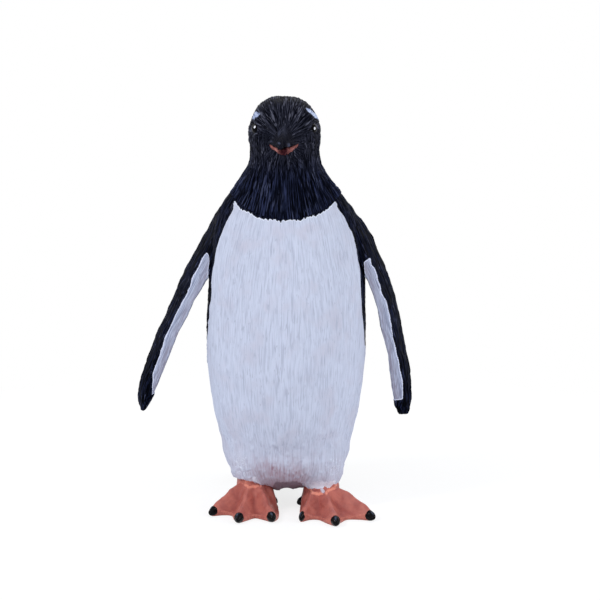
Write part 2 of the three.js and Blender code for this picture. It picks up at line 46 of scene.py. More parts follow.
# The body's cross sections from the rump up, as in the part's source
body = {
    "height": [11, 18.4, 25.8, 34, 43, 50, 56, 60, 64, 68, 70.6, 74.2],
    "halfWidth": [12.8, 14.3, 15.4, 15.9, 15.7, 15.1, 14, 12.7, 9.8, 7.4, 6.85, 7.1],
    "front": [13, 15.2, 16.2, 16.3, 15.4, 13.8, 11.7, 10, 8.3, 7.7, 8, 8.9],
    "back": [12.4, 13.3, 13.4, 13, 12.6, 12.1, 11.1, 9.9, 8.4, 7.5, 7.5, 8],
    "lean": [0, 0, 0, 0, 0, 0, 0, -0.1, -0.2, -0.3, -0.3, -0.35],
    "parting": [-6, -4.3, -1.2, 3.2, 4.9, 5, 5.6, 5.4, 5.4, 5.4, 5.4, 5.4],
    "rumpDrop": 8.0, "crownRise": 7.5, "fullness": 0.88, "wall": 2.2,
}
rump, brow = body["height"][0], body["height"][-1]
seam = {"height": 58.3, "rise": 3.3, "reach": 9.8, "gap": 0.05, "firstGuess": 60.0, "rounds": 12}
halfGap = 0.5 * seam["gap"] / 12  # as an angle, 12 mm from the axis
shell = {"coarse": 6, "liningTop": 60.0, "leastRadius": 0.4}  # coarse: outer grid steps for one inner step
legs = {
    "halfWidth": 4.9, "halfDepth": 5.2, "halfHeight": 7.5, "middle": 10.0, "top": 20.0, "blend": 1.1,
    "straightBelow": 5.2, "out": {1: 6.9, -1: 6.4}, "forward": {1: 6.2, -1: 5.5},  # left 1, right -1
}


# Helpers for shapes

def steps(table, x):
    return np.interp(x, *zip(*table))


def smooth(x, low, high):
    t = np.clip((x - low) / (high - low), 0, 1)
    return t * t * (3 - 2 * t)


def fading(x, low, high):
    return 1 - smooth(x, low, high)


def between(first, last, share):
    return first + (last - first) * share


def shares(count):
    return np.linspace(0, 1, count)[:, None]


def rowsBetween(first, last, count):  # from the first up to, but not with, the last
    return between(first, last, np.arange(count)[:, None] / count)


def angles(count):
    return np.linspace(0, 2 * math.pi, count, endpoint=False)


def powered(wave, power):
    return np.sign(wave) * np.abs(wave) ** power


def unit(v):
    return v / np.maximum(np.linalg.norm(v, axis=-1, keepdims=True), 1e-9)


def axes(points):
    return np.moveaxis(points, -1, 0)


def along(*pairs):  # distances, each along its way
    return sum(np.asarray(distance)[..., None] * way for distance, way in pairs)


def sectionAt(key, z):
    h, v = np.array(body["height"], float), np.array(body[key], float)
    rise = np.diff(h)
    slope = np.diff(v) / rise
    bend = np.zeros(len(h))
    bend[1:-1] = (slope[:-1] * rise[1:] + slope[1:] * rise[:-1]) / (rise[1:] + rise[:-1])
    z = np.clip(z, h[0], h[-1])
    i = np.clip(np.searchsorted(h, z, side="right") - 1, 0, len(h) - 2)
    t = (z - h[i]) / rise[i]
    ease = t * t * (3 - 2 * t)
    turn = bend[i] * t * (1 - t) ** 2 - bend[i + 1] * t * t * (1 - t)
    return v[i] * (1 - ease) + v[i + 1] * ease + turn * rise[i]


def domeShare(z):
    up = np.clip((z - brow) / body["crownRise"], 0, 1)
    down = np.clip((rump - z) / body["rumpDrop"], 0, 1)
    return np.maximum(np.sqrt(1 - np.maximum(up, down) ** 2), 1e-4) ** body["fullness"]


def bodyRadius(turn, z):
    share = domeShare(z)
    across = sectionAt("halfWidth", z) * share
    deep = np.where(np.cos(turn) > 0, sectionAt("front", z), sectionAt("back", z)) * share
    return 1 / np.sqrt((np.sin(turn) / across) ** 2 + (np.cos(turn) / deep) ** 2)


# How far a line from the axis runs until it leaves the leg, an upright ellipsoid
def legRadius(turn, z, side):
    x, y = side * legs["out"][side], -legs["forward"][side]
    share = np.sqrt(np.maximum(1 - ((z - legs["middle"]) / legs["halfHeight"]) ** 2, 0.02))
    wide, deep = (legs["halfWidth"] * share) ** 2, (legs["halfDepth"] * share) ** 2
    s, c = np.sin(turn), -np.cos(turn)
    a = s * s / wide + c * c / deep
    b = s * x / wide + c * y / deep
    rest = b * b - a * (x * x / wide + y * y / deep - 1)
    return b / a + np.sign(rest) * np.sqrt(np.abs(rest)) / a


def torsoRadius(turn, z):
    r = bodyRadius(turn, z)
    for side in sides.values():
        leg = legRadius(turn, np.maximum(z, legs["straightBelow"]), side)
        joined = 0.5 * (r + leg + np.sqrt((r - leg) ** 2 + legs["blend"] ** 2)) - 0.25 * legs["blend"]
        r = np.where(z < legs["top"], np.maximum(r, joined), r)
    return r


def onBody(turn, z, radius):
    x = sectionAt("lean", z) + radius * np.sin(turn)
    return np.stack([x, -radius * np.cos(turn), z], axis=-1)


# The coarse inside of a shell, one wall in from the body's surface
def liningPoints(turn, z, radius, lowest):
    turn, z, radius = (values[::shell["coarse"], ::shell["coarse"]] for values in (turn, z, radius))
    inside = (radius - body["wall"]).clip(shell["leastRadius"])
    return onBody(turn, np.clip(z, lowest, shell["liningTop"]), inside)


# Where the front and back shells meet
def partingTurn(z):
    share, at = domeShare(z), sectionAt("parting", z)
    deep = np.where(at > 0, sectionAt("front", z), sectionAt("back", z)) * share
    cosine = np.clip(at / deep, -1, 1)
    return np.arctan2(sectionAt("halfWidth", z) * share * np.sqrt(1 - cosine ** 2), at)


# The height of the neck's curved seam along a line whose turn depends on the height
def seamOn(turnAt, lift):
    z = np.full_like(turnAt(np.float64(seam["firstGuess"])), seam["firstGuess"])
    for _ in range(seam["rounds"]):
        turn = turnAt(z)
        x = sectionAt("lean", z) + bodyRadius(turn, z) * np.sin(turn)
        z = 0.5 * z + 0.5 * (seam["height"] + lift + seam["rise"] * (x / seam["reach"]) ** 2)
    return z


def waves(points, size, seed, count=14):
    rng = np.random.default_rng(seed)
    total = np.zeros(points.shape[:-1])
    for _ in range(count):
        way = unit(rng.normal(size=3)) * 2 * math.pi / (size * rng.uniform(0.7, 1.4))
        total += np.sin(points @ way + rng.uniform(0, 2 * math.pi))
    return total / math.sqrt(count)


def wobble(x, pitch, seed):
    knots = np.random.default_rng(seed).uniform(-1, 1, 400)
    at = x / pitch + 200
    i = np.clip(np.floor(at).astype(int), 0, 398)
    t = at - i
    t = t * t * (3 - 2 * t)
    return knots[i] * (1 - t) + knots[i + 1] * t


def near(points, middle, reach):
    away = (points - np.array(middle)) / np.array(reach)
    return np.exp(-np.sum(away ** 2, axis=-1))


# Soft spots from a table of their places, reaches and amounts
def spots(points, table):
    return sum(amount * near(points, middle, reach) for middle, reach, amount in table)


# A smooth curve through points, spaced as in the part's source
def smoothCurve(points, closed, count):
    p = [np.array(q, float) for q in points]
    n = len(p)
    line = []
    for i in range(n if closed else n - 1):
        if closed:
            q = [p[(i + k - 1) % n] for k in range(4)]
        else:
            q = [p[i - 1] if i > 0 else 2 * p[0] - p[1], p[i], p[i + 1],
                 p[i + 2] if i + 2 < n else 2 * p[-1] - p[-2]]
        d = [max(np.linalg.norm(q[k + 1] - q[k]) ** 0.5, 1e-4) for k in range(3)]
        m1 = (q[1] - q[0]) / d[0] - (q[2] - q[0]) / (d[0] + d[1]) + (q[2] - q[1]) / d[1]
        m2 = (q[2] - q[1]) / d[1] - (q[3] - q[1]) / (d[1] + d[2]) + (q[3] - q[2]) / d[2]
        m1, m2 = m1 * d[1], m2 * d[1]
        t = np.linspace(0, 1, 60, endpoint=False)[:, None]
        line.append(q[1] + m1 * t + (3 * (q[2] - q[1]) - 2 * m1 - m2) * t ** 2
                    + (2 * (q[1] - q[2]) + m1 + m2) * t ** 3)
    line = np.concatenate(line + [p[:1] if closed else p[-1:]])
    far = np.concatenate([[0], np.cumsum(np.linalg.norm(np.diff(line, axis=0), axis=1))])
    at = np.linspace(0, far[-1], count)
    return np.stack([np.interp(at, far, line[:, k]) for k in range(line.shape[1])], axis=1)


# A grid of points with what the carving needs to know of it
def makeForm(points, wraps=True):
    if wraps:
        across = np.roll(points, -1, axis=1) - np.roll(points, 1, axis=1)
    else:
        across = np.gradient(points, axis=1)
    along = np.gradient(points, axis=0)
    normal = unit(np.cross(across, along))
    if np.sum(normal * (points - points.reshape(-1, 3).mean(0))) < 0:
        normal = -normal
    pitches = [np.maximum(np.linalg.norm(step, axis=2).mean(1), 1e-3)
               for step in (np.diff(points, axis=1), along)]
    return {"points": points, "normal": normal, "wraps": wraps, "pitches": pitches,
            "ways": (unit(across), unit(along)),
            "relief": np.zeros(points.shape[:2]), "tone": np.zeros(points.shape[:2])}


# Strokes of the carving tool: each one is a short groove or ridge laid along the surface
def carve(form, where, flow, tool, seed):
    rng = np.random.default_rng(seed)
    p, relief, tone = form["points"], form["relief"], form["tone"]
    rows, cols = p.shape[:2]
    n = tool["count"]
    pitchAcross, pitchAlong = form["pitches"]
    chance = (pitchAcross * pitchAlong)[:, None] * np.clip(where, 0, 1) * np.ones((rows, cols))
    iAll, jAll = np.divmod(rng.choice(rows * cols, n, p=(chance / chance.sum()).ravel()), cols)
    length, width, depth = (rng.uniform(*tool[key], n) for key in ("length", "width", "depth"))
    depth *= np.where(rng.random(n) < tool["raised"], 1, -1)
    bend = rng.normal(0, tool["bend"], n)
    sway = np.radians(rng.normal(0, tool["sway"], n))
    shade = rng.normal(0, 1, n)
    normal = form["normal"][iAll, jAll]
    way = flow(p[iAll, jAll])
    way = unit(way - normal * np.sum(way * normal, axis=1, keepdims=True))
    way = way * np.cos(sway)[:, None] + np.cross(normal, way) * np.sin(sway)[:, None]
    side = np.cross(normal, way)

    def span(k):  # how many columns or rows a stroke reaches over
        run = np.abs(np.sum(way * form["ways"][k][iAll, jAll], axis=1)) * length
        return ((run + 2.4 * width + np.abs(bend) * length ** 2) / form["pitches"][k][iAll]).astype(int) + 2

    spanCols, spanRows = span(0), span(1)
    for k, (i, j) in enumerate(zip(iAll, jAll)):
        r = slice(max(i - spanRows[k], 0), min(i + spanRows[k] + 1, rows))
        if form["wraps"]:
            reach = min(spanCols[k], cols // 2 - 1)
            c = np.arange(j - reach, j + reach + 1) % cols
        else:
            c = slice(max(j - spanCols[k], 0), min(j + spanCols[k] + 1, cols))
        away = p[r, c] - p[i, j]
        a = away @ way[k] / length[k]
        b = (away @ side[k] - bend[k] * (a * length[k]) ** 2) / (width[k] * (1 - 0.35 * a))
        cut = np.clip(1 - a * a, 0, 1) ** 0.8 * np.exp(-b * b)
        relief[r, c] += depth[k] * cut
        tone[r, c] += shade[k] * cut


def pushed(form):
    return form["points"] + form["normal"] * form["relief"][..., None]


# Meshes

def linked(name, data):
    made = bpy.data.objects.new(name, data)
    bpy.context.scene.collection.objects.link(made)
    return made


# The first faces are smooth, and each field becomes an attribute that the paint reads
def buildMesh(name, points, quads, triangles, smoothFaces, maps, fields):
    mesh = bpy.data.meshes.new(name)
    mesh.vertices.add(len(points))
    mesh.vertices.foreach_set("co", ((points + standsAt) * mm).astype(np.float32).ravel())
    corners = np.concatenate([quads.ravel(), triangles.ravel()]).astype(np.int32)
    sizes = np.concatenate([np.full(len(quads), 4), np.full(len(triangles), 3)])
    mesh.loops.add(len(corners))
    mesh.loops.foreach_set("vertex_index", corners)
    mesh.polygons.add(len(sizes))
    mesh.polygons.foreach_set("loop_start", np.concatenate([[0], np.cumsum(sizes)[:-1]]).astype(np.int32))
    mesh.update(calc_edges=True)
    mesh.polygons.foreach_set("use_smooth", np.arange(len(sizes)) < smoothFaces)
    uv = np.concatenate([part.reshape(-1, 2) for part in maps])
    mesh.uv_layers.new(name="OFBake").uv.foreach_set("vector", uv.astype(np.float32).ravel())
    for key, values in fields.items():
        width = 3 if values.ndim > 1 and values.shape[-1] == 3 else 1
        full = np.zeros((len(points), width), np.float32)
        full[:values.size // width] = values.reshape(-1, width)
        made = mesh.attributes.new(key, "FLOAT_VECTOR" if width == 3 else "FLOAT", "POINT")
        made.data.foreach_set("vector" if width == 3 else "value", full.ravel())
    mesh.validate()
    return linked(name, mesh)


# The quads of a grid, and their places between two corners of the map
def gridFaces(rows, cols, low, high, wraps=True, loops=False):
    across, upward = cols if wraps else cols - 1, rows if loops else rows - 1
    i, j = (k.ravel() for k in np.meshgrid(np.arange(upward), np.arange(across), indexing="ij"))
    a, b = i * cols, (i + 1) % rows * cols
    k = (j + 1) % cols
    wide, tall = (high[0] - low[0]) / across, (high[1] - low[1]) / upward
    corners = [(0, 0), (1, 0), (1, 1), (0, 1)]  # across, upward
    maps = [np.stack([low[0] + (j + u) * wide, low[1] + (i + v) * tall], axis=-1) for u, v in corners]
    return np.stack([a + j, a + k, b + k, b + j], axis=-1), np.stack(maps, axis=1)


# A field over a grid from vectors, numbers, one row or column of numbers, or a single one
def overGrid(values, rows, cols):
    values = np.asarray(values, float)
    return values if values.ndim == 3 else np.broadcast_to(values, (rows, cols))[..., None]


def facesInward(points, quads, core):
    a, b, c = (points[quads[:, k]] for k in range(3))
    return np.sum(np.cross(b - a, c - a) * (a - core)) < 0


# An open patch closed into a shell: a fine outer grid, a coarse inner one and a rim between them
def shellPiece(name, outer, inner, fields):
    coarse = shell["coarse"]
    (rows, cols), (rows2, cols2) = outer.shape[:2], inner.shape[:2]
    quads, uv = gridFaces(rows, cols, (0.01, 0.01), (0.99, 0.86), wraps=False)
    inside, insideUv = gridFaces(rows2, cols2, (0.01, 0.9), (0.6, 0.99), wraps=False)

    def border(r, c):
        ring = [(0, k) for k in range(c - 1)] + [(k, c - 1) for k in range(r - 1)]
        ring += [(r - 1, k) for k in range(c - 1, 0, -1)] + [(k, 0) for k in range(r - 1, 0, -1)]
        return np.array(ring) @ [c, 1]

    out, inn = border(rows, cols), border(rows2, cols2) + rows * cols
    rim = []
    for k, corner in enumerate(inn):
        following = inn[(k + 1) % len(inn)]
        edge = [out[(k * coarse + m) % len(out)] for m in range(coarse + 1)]
        rim += [(edge[m + 1], edge[m], corner if m < coarse // 2 else following) for m in range(coarse)]
        rim.append((edge[coarse // 2], corner, following))
    rim = np.array(rim)
    faces = np.concatenate([quads, inside[:, ::-1] + rows * cols])
    uv = np.concatenate([uv, insideUv])
    r, c = rows // 2, cols // 2
    a = outer[r, c]
    facing = np.cross(outer[r, c + 1] - a, outer[r + 1, c + 1] - a)
    if np.dot(facing, a - inner[rows2 // 2, cols2 // 2]) < 0:
        faces, rim, uv = faces[:, ::-1], rim[:, ::-1], uv[:, ::-1]
    rimUv = np.tile([[0.65, 0.92], [0.66, 0.92], [0.66, 0.93]], (len(rim), 1))
    points = np.concatenate([outer.reshape(-1, 3), inner.reshape(-1, 3)])
    full = {key: overGrid(values, rows, cols) for key, values in fields.items()}
    return buildMesh(name, points, faces, rim, len(quads), [uv, rimUv], full)


# Rings closed by a fan to a point at each end
def tubePiece(name, rings, fields, tips=None, flatRings=0):
    rows, cols = rings.shape[:2]
    quads, uv = gridFaces(rows, cols, (0.01, 0.01), (0.99, 0.94))
    points = rings.reshape(-1, 3)
    if tips is None:
        tips = [rings[0].mean(0), rings[-1].mean(0)]
    k = np.arange(cols)
    following, last = (k + 1) % cols, (rows - 1) * cols
    fans = np.concatenate([np.stack([following, k, np.full(cols, rows * cols)], axis=1),
                           np.stack([last + k, last + following, np.full(cols, rows * cols + 1)], axis=1)])
    corners = np.array([(0, 0), (0.3 / cols, 0), (0, 0.01)])
    fanUv = [(np.stack([(k + 0.5) / cols, np.full(cols, v)], axis=1)[:, None] + corners) * 0.98 + 0.01
             for v in (0.95, 0.97)]
    if facesInward(points, quads, points.mean(0)):
        quads, fans, uv = quads[:, ::-1], fans[:, ::-1], uv[:, ::-1]
    full = {}
    for key, values in fields.items():
        values = overGrid(values, rows, cols)
        ends = values[:1].mean(1), values[-1:].mean(1)
        full[key] = np.concatenate([values.reshape(rows * cols, -1), *ends])
    smoothFaces = (rows - 1 - flatRings) * cols
    return buildMesh(name, np.concatenate([points, tips]), quads, fans, smoothFaces, [uv, *fanUv], full)


# Every piece rides on the one body; some stand for a node of the frame
def finished(piece, material, replaced=None):
    piece.data.materials.append(material)
    if replaced:
        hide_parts(replaced)
    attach(piece, "root")


# Materials: the helpers add their nodes to the tree on the bench, the one that is being made

bench = {}


def clearBench(owner):
    owner.use_nodes = True
    bench["tree"] = owner.node_tree
    bench["tree"].nodes.clear()


def newPaint(name):
    material = bpy.data.materials.new(name)
    clearBench(material)
    return material


def node(kind, **settings):
    made = bench["tree"].nodes.new("ShaderNode" + kind)
    for key, value in settings.items():
        setattr(made, key, value)
    return made


def toLinear(rgb):
    return [((c / 255 + 0.055) / 1.055) ** 2.4 if c > 10 else c / 255 / 12.92 for c in rgb] + [1.0]


# Gives a socket a number, a colour from 0 to 255, or another node's output
def feed(socket, value):
    if isinstance(value, tuple):
        socket.default_value = toLinear(value)
    elif isinstance(value, (int, float)):
        socket.default_value = value
    else:
        bench["tree"].links.new(value, socket)


def feedAll(made, values):
    for key, value in values.items():
        feed(made.inputs[key], value)


def field(name, output="Fac"):
    return node("Attribute", attribute_name=name).outputs[output]


def ranged(source, low, high, toLow=0.0, toHigh=1.0):
    easing = "SMOOTHSTEP" if (toLow, toHigh) == (0.0, 1.0) else "LINEAR"
    made = node("MapRange", interpolation_type=easing)
    feedAll(made, {"Value": source, "From Min": low, "From Max": high, "To Min": toLow, "To Max": toHigh})
    return made.outputs["Result"]


def blended(share, first, second):
    made = node("Mix", data_type="RGBA")
    feedAll(made, {0: share, 6: first, 7: second})
    return made.outputs[2]


# Coats laid over a colour, each with the share that covers it
def layered(base, *coats):
    for share, colour in coats:
        base = blended(share, base, colour)
    return base


def worked(how, first, second=0.0):
    made = node("Math", operation=how)
    feedAll(made, {0: first, 1: second})
    return made.outputs[0]


def plus(first, second):
    return worked("ADD", first, second)


def times(first, second):
    return worked("MULTIPLY", first, second)


def noise(place, size, detail, roughness=0.5):
    made = node("TexNoise")
    feedAll(made, {"Vector": place, "Scale": 1 / size, "Detail": detail, "Roughness": roughness})
    return made.outputs["Fac"]


def speckle(size, detail=3.0):
    return noise(node("TexCoord").outputs["Object"], size * mm, detail)


def strandNoise(name, size, detail=2.0):
    return noise(field(name, "Vector"), size, detail, 0.45)


def coated(colour, rough, shine, grain=None, height=0.0):
    shader = node("BsdfPrincipled")
    feedAll(shader, {"Base Color": colour, "Roughness": rough, "Specular IOR Level": shine})
    if height:
        bump = node("Bump")
        feedAll(bump, {"Strength": 1.0, "Distance": height * mm, "Height": grain})
        feed(shader.inputs["Normal"], bump.outputs[0])
    feed(node("OutputMaterial").inputs[0], shader.outputs[0])


# Paint colours: groove and whiteGroove are painted shade in the grooves; ridge and the streak colour of dust
# and sheen are painted highlights and sheen on the black
plumage = {
    "groove": (2, 3, 9), "black": (5, 7, 17), "ridge": (40, 45, 69), "dustAndSheen": (58, 59, 74),
    "whiteGroove": (181, 187, 208), "whiteLow": (196, 203, 224), "whiteHigh": (206, 213, 234),
    "drift": (199, 201, 220), "rim": (228, 234, 250), "rimWidth": 0.16,
    "washAndShade": (170, 143, 157), "dark": (138, 124, 137),
    "blackRough": (0.36, 0.54), "whiteRough": (0.5, 0.65), "shine": 0.008, "reliefSpan": 0.12,
    "streak": (0.9, 2.8), "strand": 0.27, "line": 0.42, "lineWidth": 0.045, "strandHeight": 0.06,
}


# Carved plumage painted black and white; the paint follows the fields that each mesh carries
def plumagePaint(name, plan, turning=False):
    material = newPaint(name)
    relief, tone = field("relief"), field("tone")
    mottled, fine = speckle(1.6), speckle(0.22, 2.0)
    ridge, dustAndSheen, span = plan["ridge"], plan["dustAndSheen"], plan["reliefSpan"]
    if turning:
        ridge = blended(field("cool"), plan["ridgeHead"], ridge)
        dustAndSheen = blended(field("cool"), plan["dustAndSheenHead"], dustAndSheen)

    def strands(size):
        found = strandNoise("strand", size, 1.0)
        if turning:  # on the head the feathers turn from radial to downward
            found = plus(times(found, worked("SUBTRACT", 1.0, field("turn"))),
                         times(strandNoise("strandDown", size, 1.0), field("turn")))
        return found

    hair = strands(plan["strand"])
    line = ranged(worked("ABSOLUTE", worked("SUBTRACT", strands(plan["line"]), 0.5)), plan["lineWidth"], 0.0)
    height = plus(relief, ranged(hair, 0.35, 0.65, -0.06, 0.06))
    lit = worked("MAXIMUM", ranged(hair, 0.53, 0.63), times(line, 0.8))
    # On the black the grooves are painted darker as painted shade, and the ridges, thin lines and stroke
    # streaks are painted lighter as painted highlights and sheen, with some dust
    black = layered(
        plan["black"], (ranged(height, 0.0, -span * 0.8), plan["groove"]),
        (times(lit, ranged(relief, -span, span * 0.5, 0.25, 1.0)), ridge),
        (times(ranged(tone, *plan["streak"]), ranged(hair, 0.4, 0.56)), dustAndSheen))
    edge = plus(field("white"), ranged(fine, 0.3, 0.7, -0.04, 0.04))
    # On the white the thin lines and the grooves are painted darker as painted shade
    white = layered(
        plan["whiteLow"], (ranged(hair, 0.36, 0.64), plan["whiteHigh"]),
        (ranged(speckle(5.0), 0.45, 0.75), plan["drift"]),
        (times(line, ranged(mottled, 0.45, 0.6)), plan["whiteGroove"]),
        (ranged(height, -span * 0.15, -span), plan["whiteGroove"]),
        # a purple-grey wash, deeper in the grooves as painted shade
        (times(field("washAndShade"), ranged(height, span * 0.9, -span, 0.3, 1.0)), plan["washAndShade"]),
        # the painted shadow between the legs, in the dark colour
        (ranged(field("paintedShadow"), -0.15, 0.3), plan["dark"]),
        # the rim colour along the edge of the white: on the body and flippers a painted highlight on the
        # raised paint edge
        (ranged(edge, plan["rimWidth"], plan["rimWidth"] * 0.6), plan["rim"]))
    isWhite = ranged(edge, -0.03, 0.03)
    dull = plus(ranged(mottled, 0.3, 0.7, *plan["blackRough"]),
                ranged(isWhite, 0, 1, 0.0, plan["whiteRough"][0] - plan["blackRough"][0]))
    coated(blended(isWhite, black, white), dull, plan["shine"],
           plus(hair, times(fine, 0.15)), plan["strandHeight"])
    return material


print("materials")
coat = plumagePaint("plumage paint", plumage)


# Where the form widens downward, each fine strand keeps its place round the axis
def strandsAround(points, radius, narrow, lengthwise, drift):
    x, y, z = axes(points)
    x = x - sectionAt("lean", z)
    away = np.maximum(np.hypot(x, y), 1e-3)
    out = radius * np.minimum(away / narrow, 1) / away
    return np.stack([x * out, y * out, z * lengthwise], axis=-1) + drift * waves(points, 9.0, 3)[..., None]


# Where the white bib is: its breast line with teeth, its side edges and, behind them, the flanks
bib = {
    "breastLine": [
        (-12, 63.4), (-10.14, 61.7), (-9.74, 61.15), (-9.21, 60.48), (-8.7, 60.05), (-8.06, 60),
        (-7.3, 59.55), (-6.68, 59.35), (-5.42, 58.85), (-4.67, 58.46), (-3.81, 58.36), (-2.57, 58.34),
        (-1.46, 58.24), (-0.47, 58.15), (0.76, 58.2), (2.8, 58.3), (3.54, 58.58), (5.27, 58.94),
        (5.89, 58.85), (6.76, 59.4), (8.01, 60.03), (9.02, 60.76), (9.54, 61.34), (12, 63)],
    "leftEdge": [
        (5, 132), (11, 118.5), (18.4, 109), (25.8, 97), (29.5, 90), (31.5, 84), (32.5, 80), (33.8, 77.2),
        (36, 74), (38.6, 71.5), (43.2, 68.6), (45.7, 69.2), (48.2, 71.6), (49.8, 70), (51.7, 71.2),
        (53.4, 70.1), (55.3, 69.2), (56.7, 66.4), (58.3, 64.4), (59.3, 61.6), (60.3, 60.3), (61, 62.7),
        (61.3, 60.8), (62.5, 58)],
    "rightEdge": [
        (5, 132), (11, 118.5), (18.4, 109), (25.8, 97), (30, 90), (33, 80), (35.3, 75.9), (37.4, 75.2),
        (38.2, 72.6), (40, 73.6), (41.7, 71.3), (43.7, 71.6), (45.8, 72.6), (47.7, 71.8), (49.4, 69),
        (50.9, 69.3), (52.15, 68.7), (53.45, 67.4), (55.1, 65.2), (56.4, 64.1), (58.1, 61.2), (58.9, 59.6),
        (59.7, 58.9), (60.4, 59.9), (61.1, 62.6), (62.5, 65)],
    "toothPitch": 0.42, "toothDepth": 0.24, "fineTeeth": 0.06, "teethWithin": 9, "breastAbove": 50,
    "longTooth": (-1.0, 0.2, 0.42),  # place, width, length
    "sideWobble": 0.05, "raised": 0.1,
}
# Where the sides are a little fuller or slimmer: side, height, reach, from and to across, amount
trims = [(1, 45, 3.5, (8, 13), 0.26), (-1, 43, 5.5, (8, 13), -0.2),
         (1, 8.6, 2.4, (6, 10), -0.22), (-1, 8.6, 2.4, (6, 10), -0.16)]


def bibField(points):
    x, y, z = axes(points)
    turn = np.degrees(np.arctan2(np.abs(x - sectionAt("lean", z)), -y))
    edge = np.where(x > 0, steps(bib["leftEdge"], z), steps(bib["rightEdge"], z))
    sideGap = np.radians(edge - turn) * np.hypot(x, y)
    sideGap += bib["sideWobble"] * (wobble(z + 40 * np.sign(x), 0.8, 5) + 0.6 * wobble(z + 90, 2.1, 6))
    teeth = bib["toothDepth"] * (np.abs(wobble(x, bib["toothPitch"], 7)) ** 1.5 * 1.6 - 0.4)
    teeth += bib["fineTeeth"] * wobble(x, 0.35, 8)
    place, width, length = bib["longTooth"]
    tooth = np.exp(-((x - place) / width) ** 2) * length
    inner = steps(bib["breastLine"], x) - z - teeth * (np.abs(x) < bib["teethWithin"]) - tooth
    return np.where(z > bib["breastAbove"], np.minimum(sideGap, inner * 0.9), sideGap)


def trimmed(points):
    x, _, z = axes(points)
    return sum(amount * np.exp(-((z - height) / reach) ** 2) * smooth(side * x, *across)
               for side, height, reach, across, amount in trims)


def downFlow(points):
    return np.array([0.0, 0.0, -1.0]) + 0.06 * unit(points * [1, 1, 0])


# Front shell: the white belly and breast with its short legs
print("belly shell")
front = {
    "columns": 384, "rows": (160, 18, 3, 17),  # down to the hem, the hem, its turned edge, underneath
    "levelAbove": 9.0, "turnedIn": 0.35, "ragged": 0.2, "liningLow": 5.4, "liningTurn": 0.97,
    "hem": [(-12, 6.6), (-9.7, 6.45), (-7, 6.25), (-5.8, 5.85), (-4.7, 5.4), (-3.2, 5.1), (-2.7, 4.65),
            (-2, 4.59), (-1, 4.38), (-0.6, 4.69), (0.4, 4.95), (1.4, 4.6), (2.2, 4.78), (2.9, 4.69),
            (3.4, 5.4), (4.3, 4.7), (8, 4.5), (10.5, 4.55), (12, 4.6)],
    # how far the tufts between the legs hang
    "tufts": [(-3.2, 0), (-1.9, 0.3), (-1.3, 0.24), (-0.9, 0.04), (0.25, -0.3), (0.9, -0.12), (1.4, 0.1),
              (2, -0.1), (2.6, -0.22), (3.2, 0)],
    # pale cuffs over the feet, partly painted light against the shade low on the legs, and painted light
    # beside them: place, reach, amount
    "cuffs": [((7.3, -9, 5.2), (4.3, 6, 1.5), 1.0), ((-6.8, -9, 6.6), (3.6, 6, 1.9), 0.6)],
    "paintedLight": [((-8.8, -9, 9.6), (4.6, 7, 5.5), 0.55), ((9.4, -9, 9.2), (4.4, 7, 5.5), 0.54)],
    "lowTint": {"middle": -1.8, "reach": 6.0, "levels": (7.5, 14), "faint": 0.15, "faintLevels": (8, 17)},
    "shadowTop": 6.35, "shadowFrom": (2.3, 3.4),  # the shadow between the legs: height, distance from x = 0.4
    "strands": {"radius": 18.0, "narrow": 9.0, "lengthwise": 0.09, "drift": 0.05},
    "strokes": {"count": 5200, "length": (0.9, 2.6), "width": (0.09, 0.2), "depth": (0.01, 0.035),
                "sway": 5, "raised": 0.35, "bend": 0.03},
    "lowStrokes": {"count": 600, "length": (0.5, 1.5), "width": (0.1, 0.2), "depth": (0.015, 0.05),
                   "sway": 12, "raised": 0.5, "bend": 0.12},
    "curls": {"count": 360, "length": (0.3, 0.8), "width": (0.12, 0.2), "depth": (0.07, 0.16),
              "sway": 55, "raised": 0.85, "bend": 0.7},
}
across = np.linspace(-1, 1, front["columns"] + 1)
topEdge = seamOn(lambda z: across * partingTurn(z), -seam["gap"] / 2)


def bellyGrid():
    rowsTop, rowsHem, rowsIn, rowsUnder = front["rows"]
    level = np.full_like(across, legs["straightBelow"])
    turn = across * partingTurn(level)
    x = torsoRadius(turn, level) * np.sin(turn)
    hem = steps(front["hem"], x) + front["ragged"] * (wobble(x, 0.55, 11) + 0.5 * wobble(x, 0.25, 12))
    start = np.arcsin((rump - hem + front["turnedIn"]) / body["rumpDrop"])
    swing = between(start, math.pi / 2, 0.998 * shares(rowsUnder + 1))
    z = np.concatenate([
        rowsBetween(topEdge, front["levelAbove"], rowsTop), rowsBetween(front["levelAbove"], hem, rowsHem),
        rowsBetween(hem, hem - front["turnedIn"], rowsIn), rump - body["rumpDrop"] * np.sin(swing)])
    z = np.maximum(z, rump - body["rumpDrop"] + 1e-4)
    turn = across * (partingTurn(z) - halfGap)
    r, under = torsoRadius(turn, z), bodyRadius(turn, z)
    hemRow = rowsTop + rowsHem
    fade = np.exp(-(np.maximum(z[hemRow] - z, 0) / (front["turnedIn"] * 0.5)) ** 2)
    r[hemRow + 1:] = (under + (r - under)[hemRow] * fade)[hemRow + 1:]
    return onBody(turn, z, r), turn, z, under


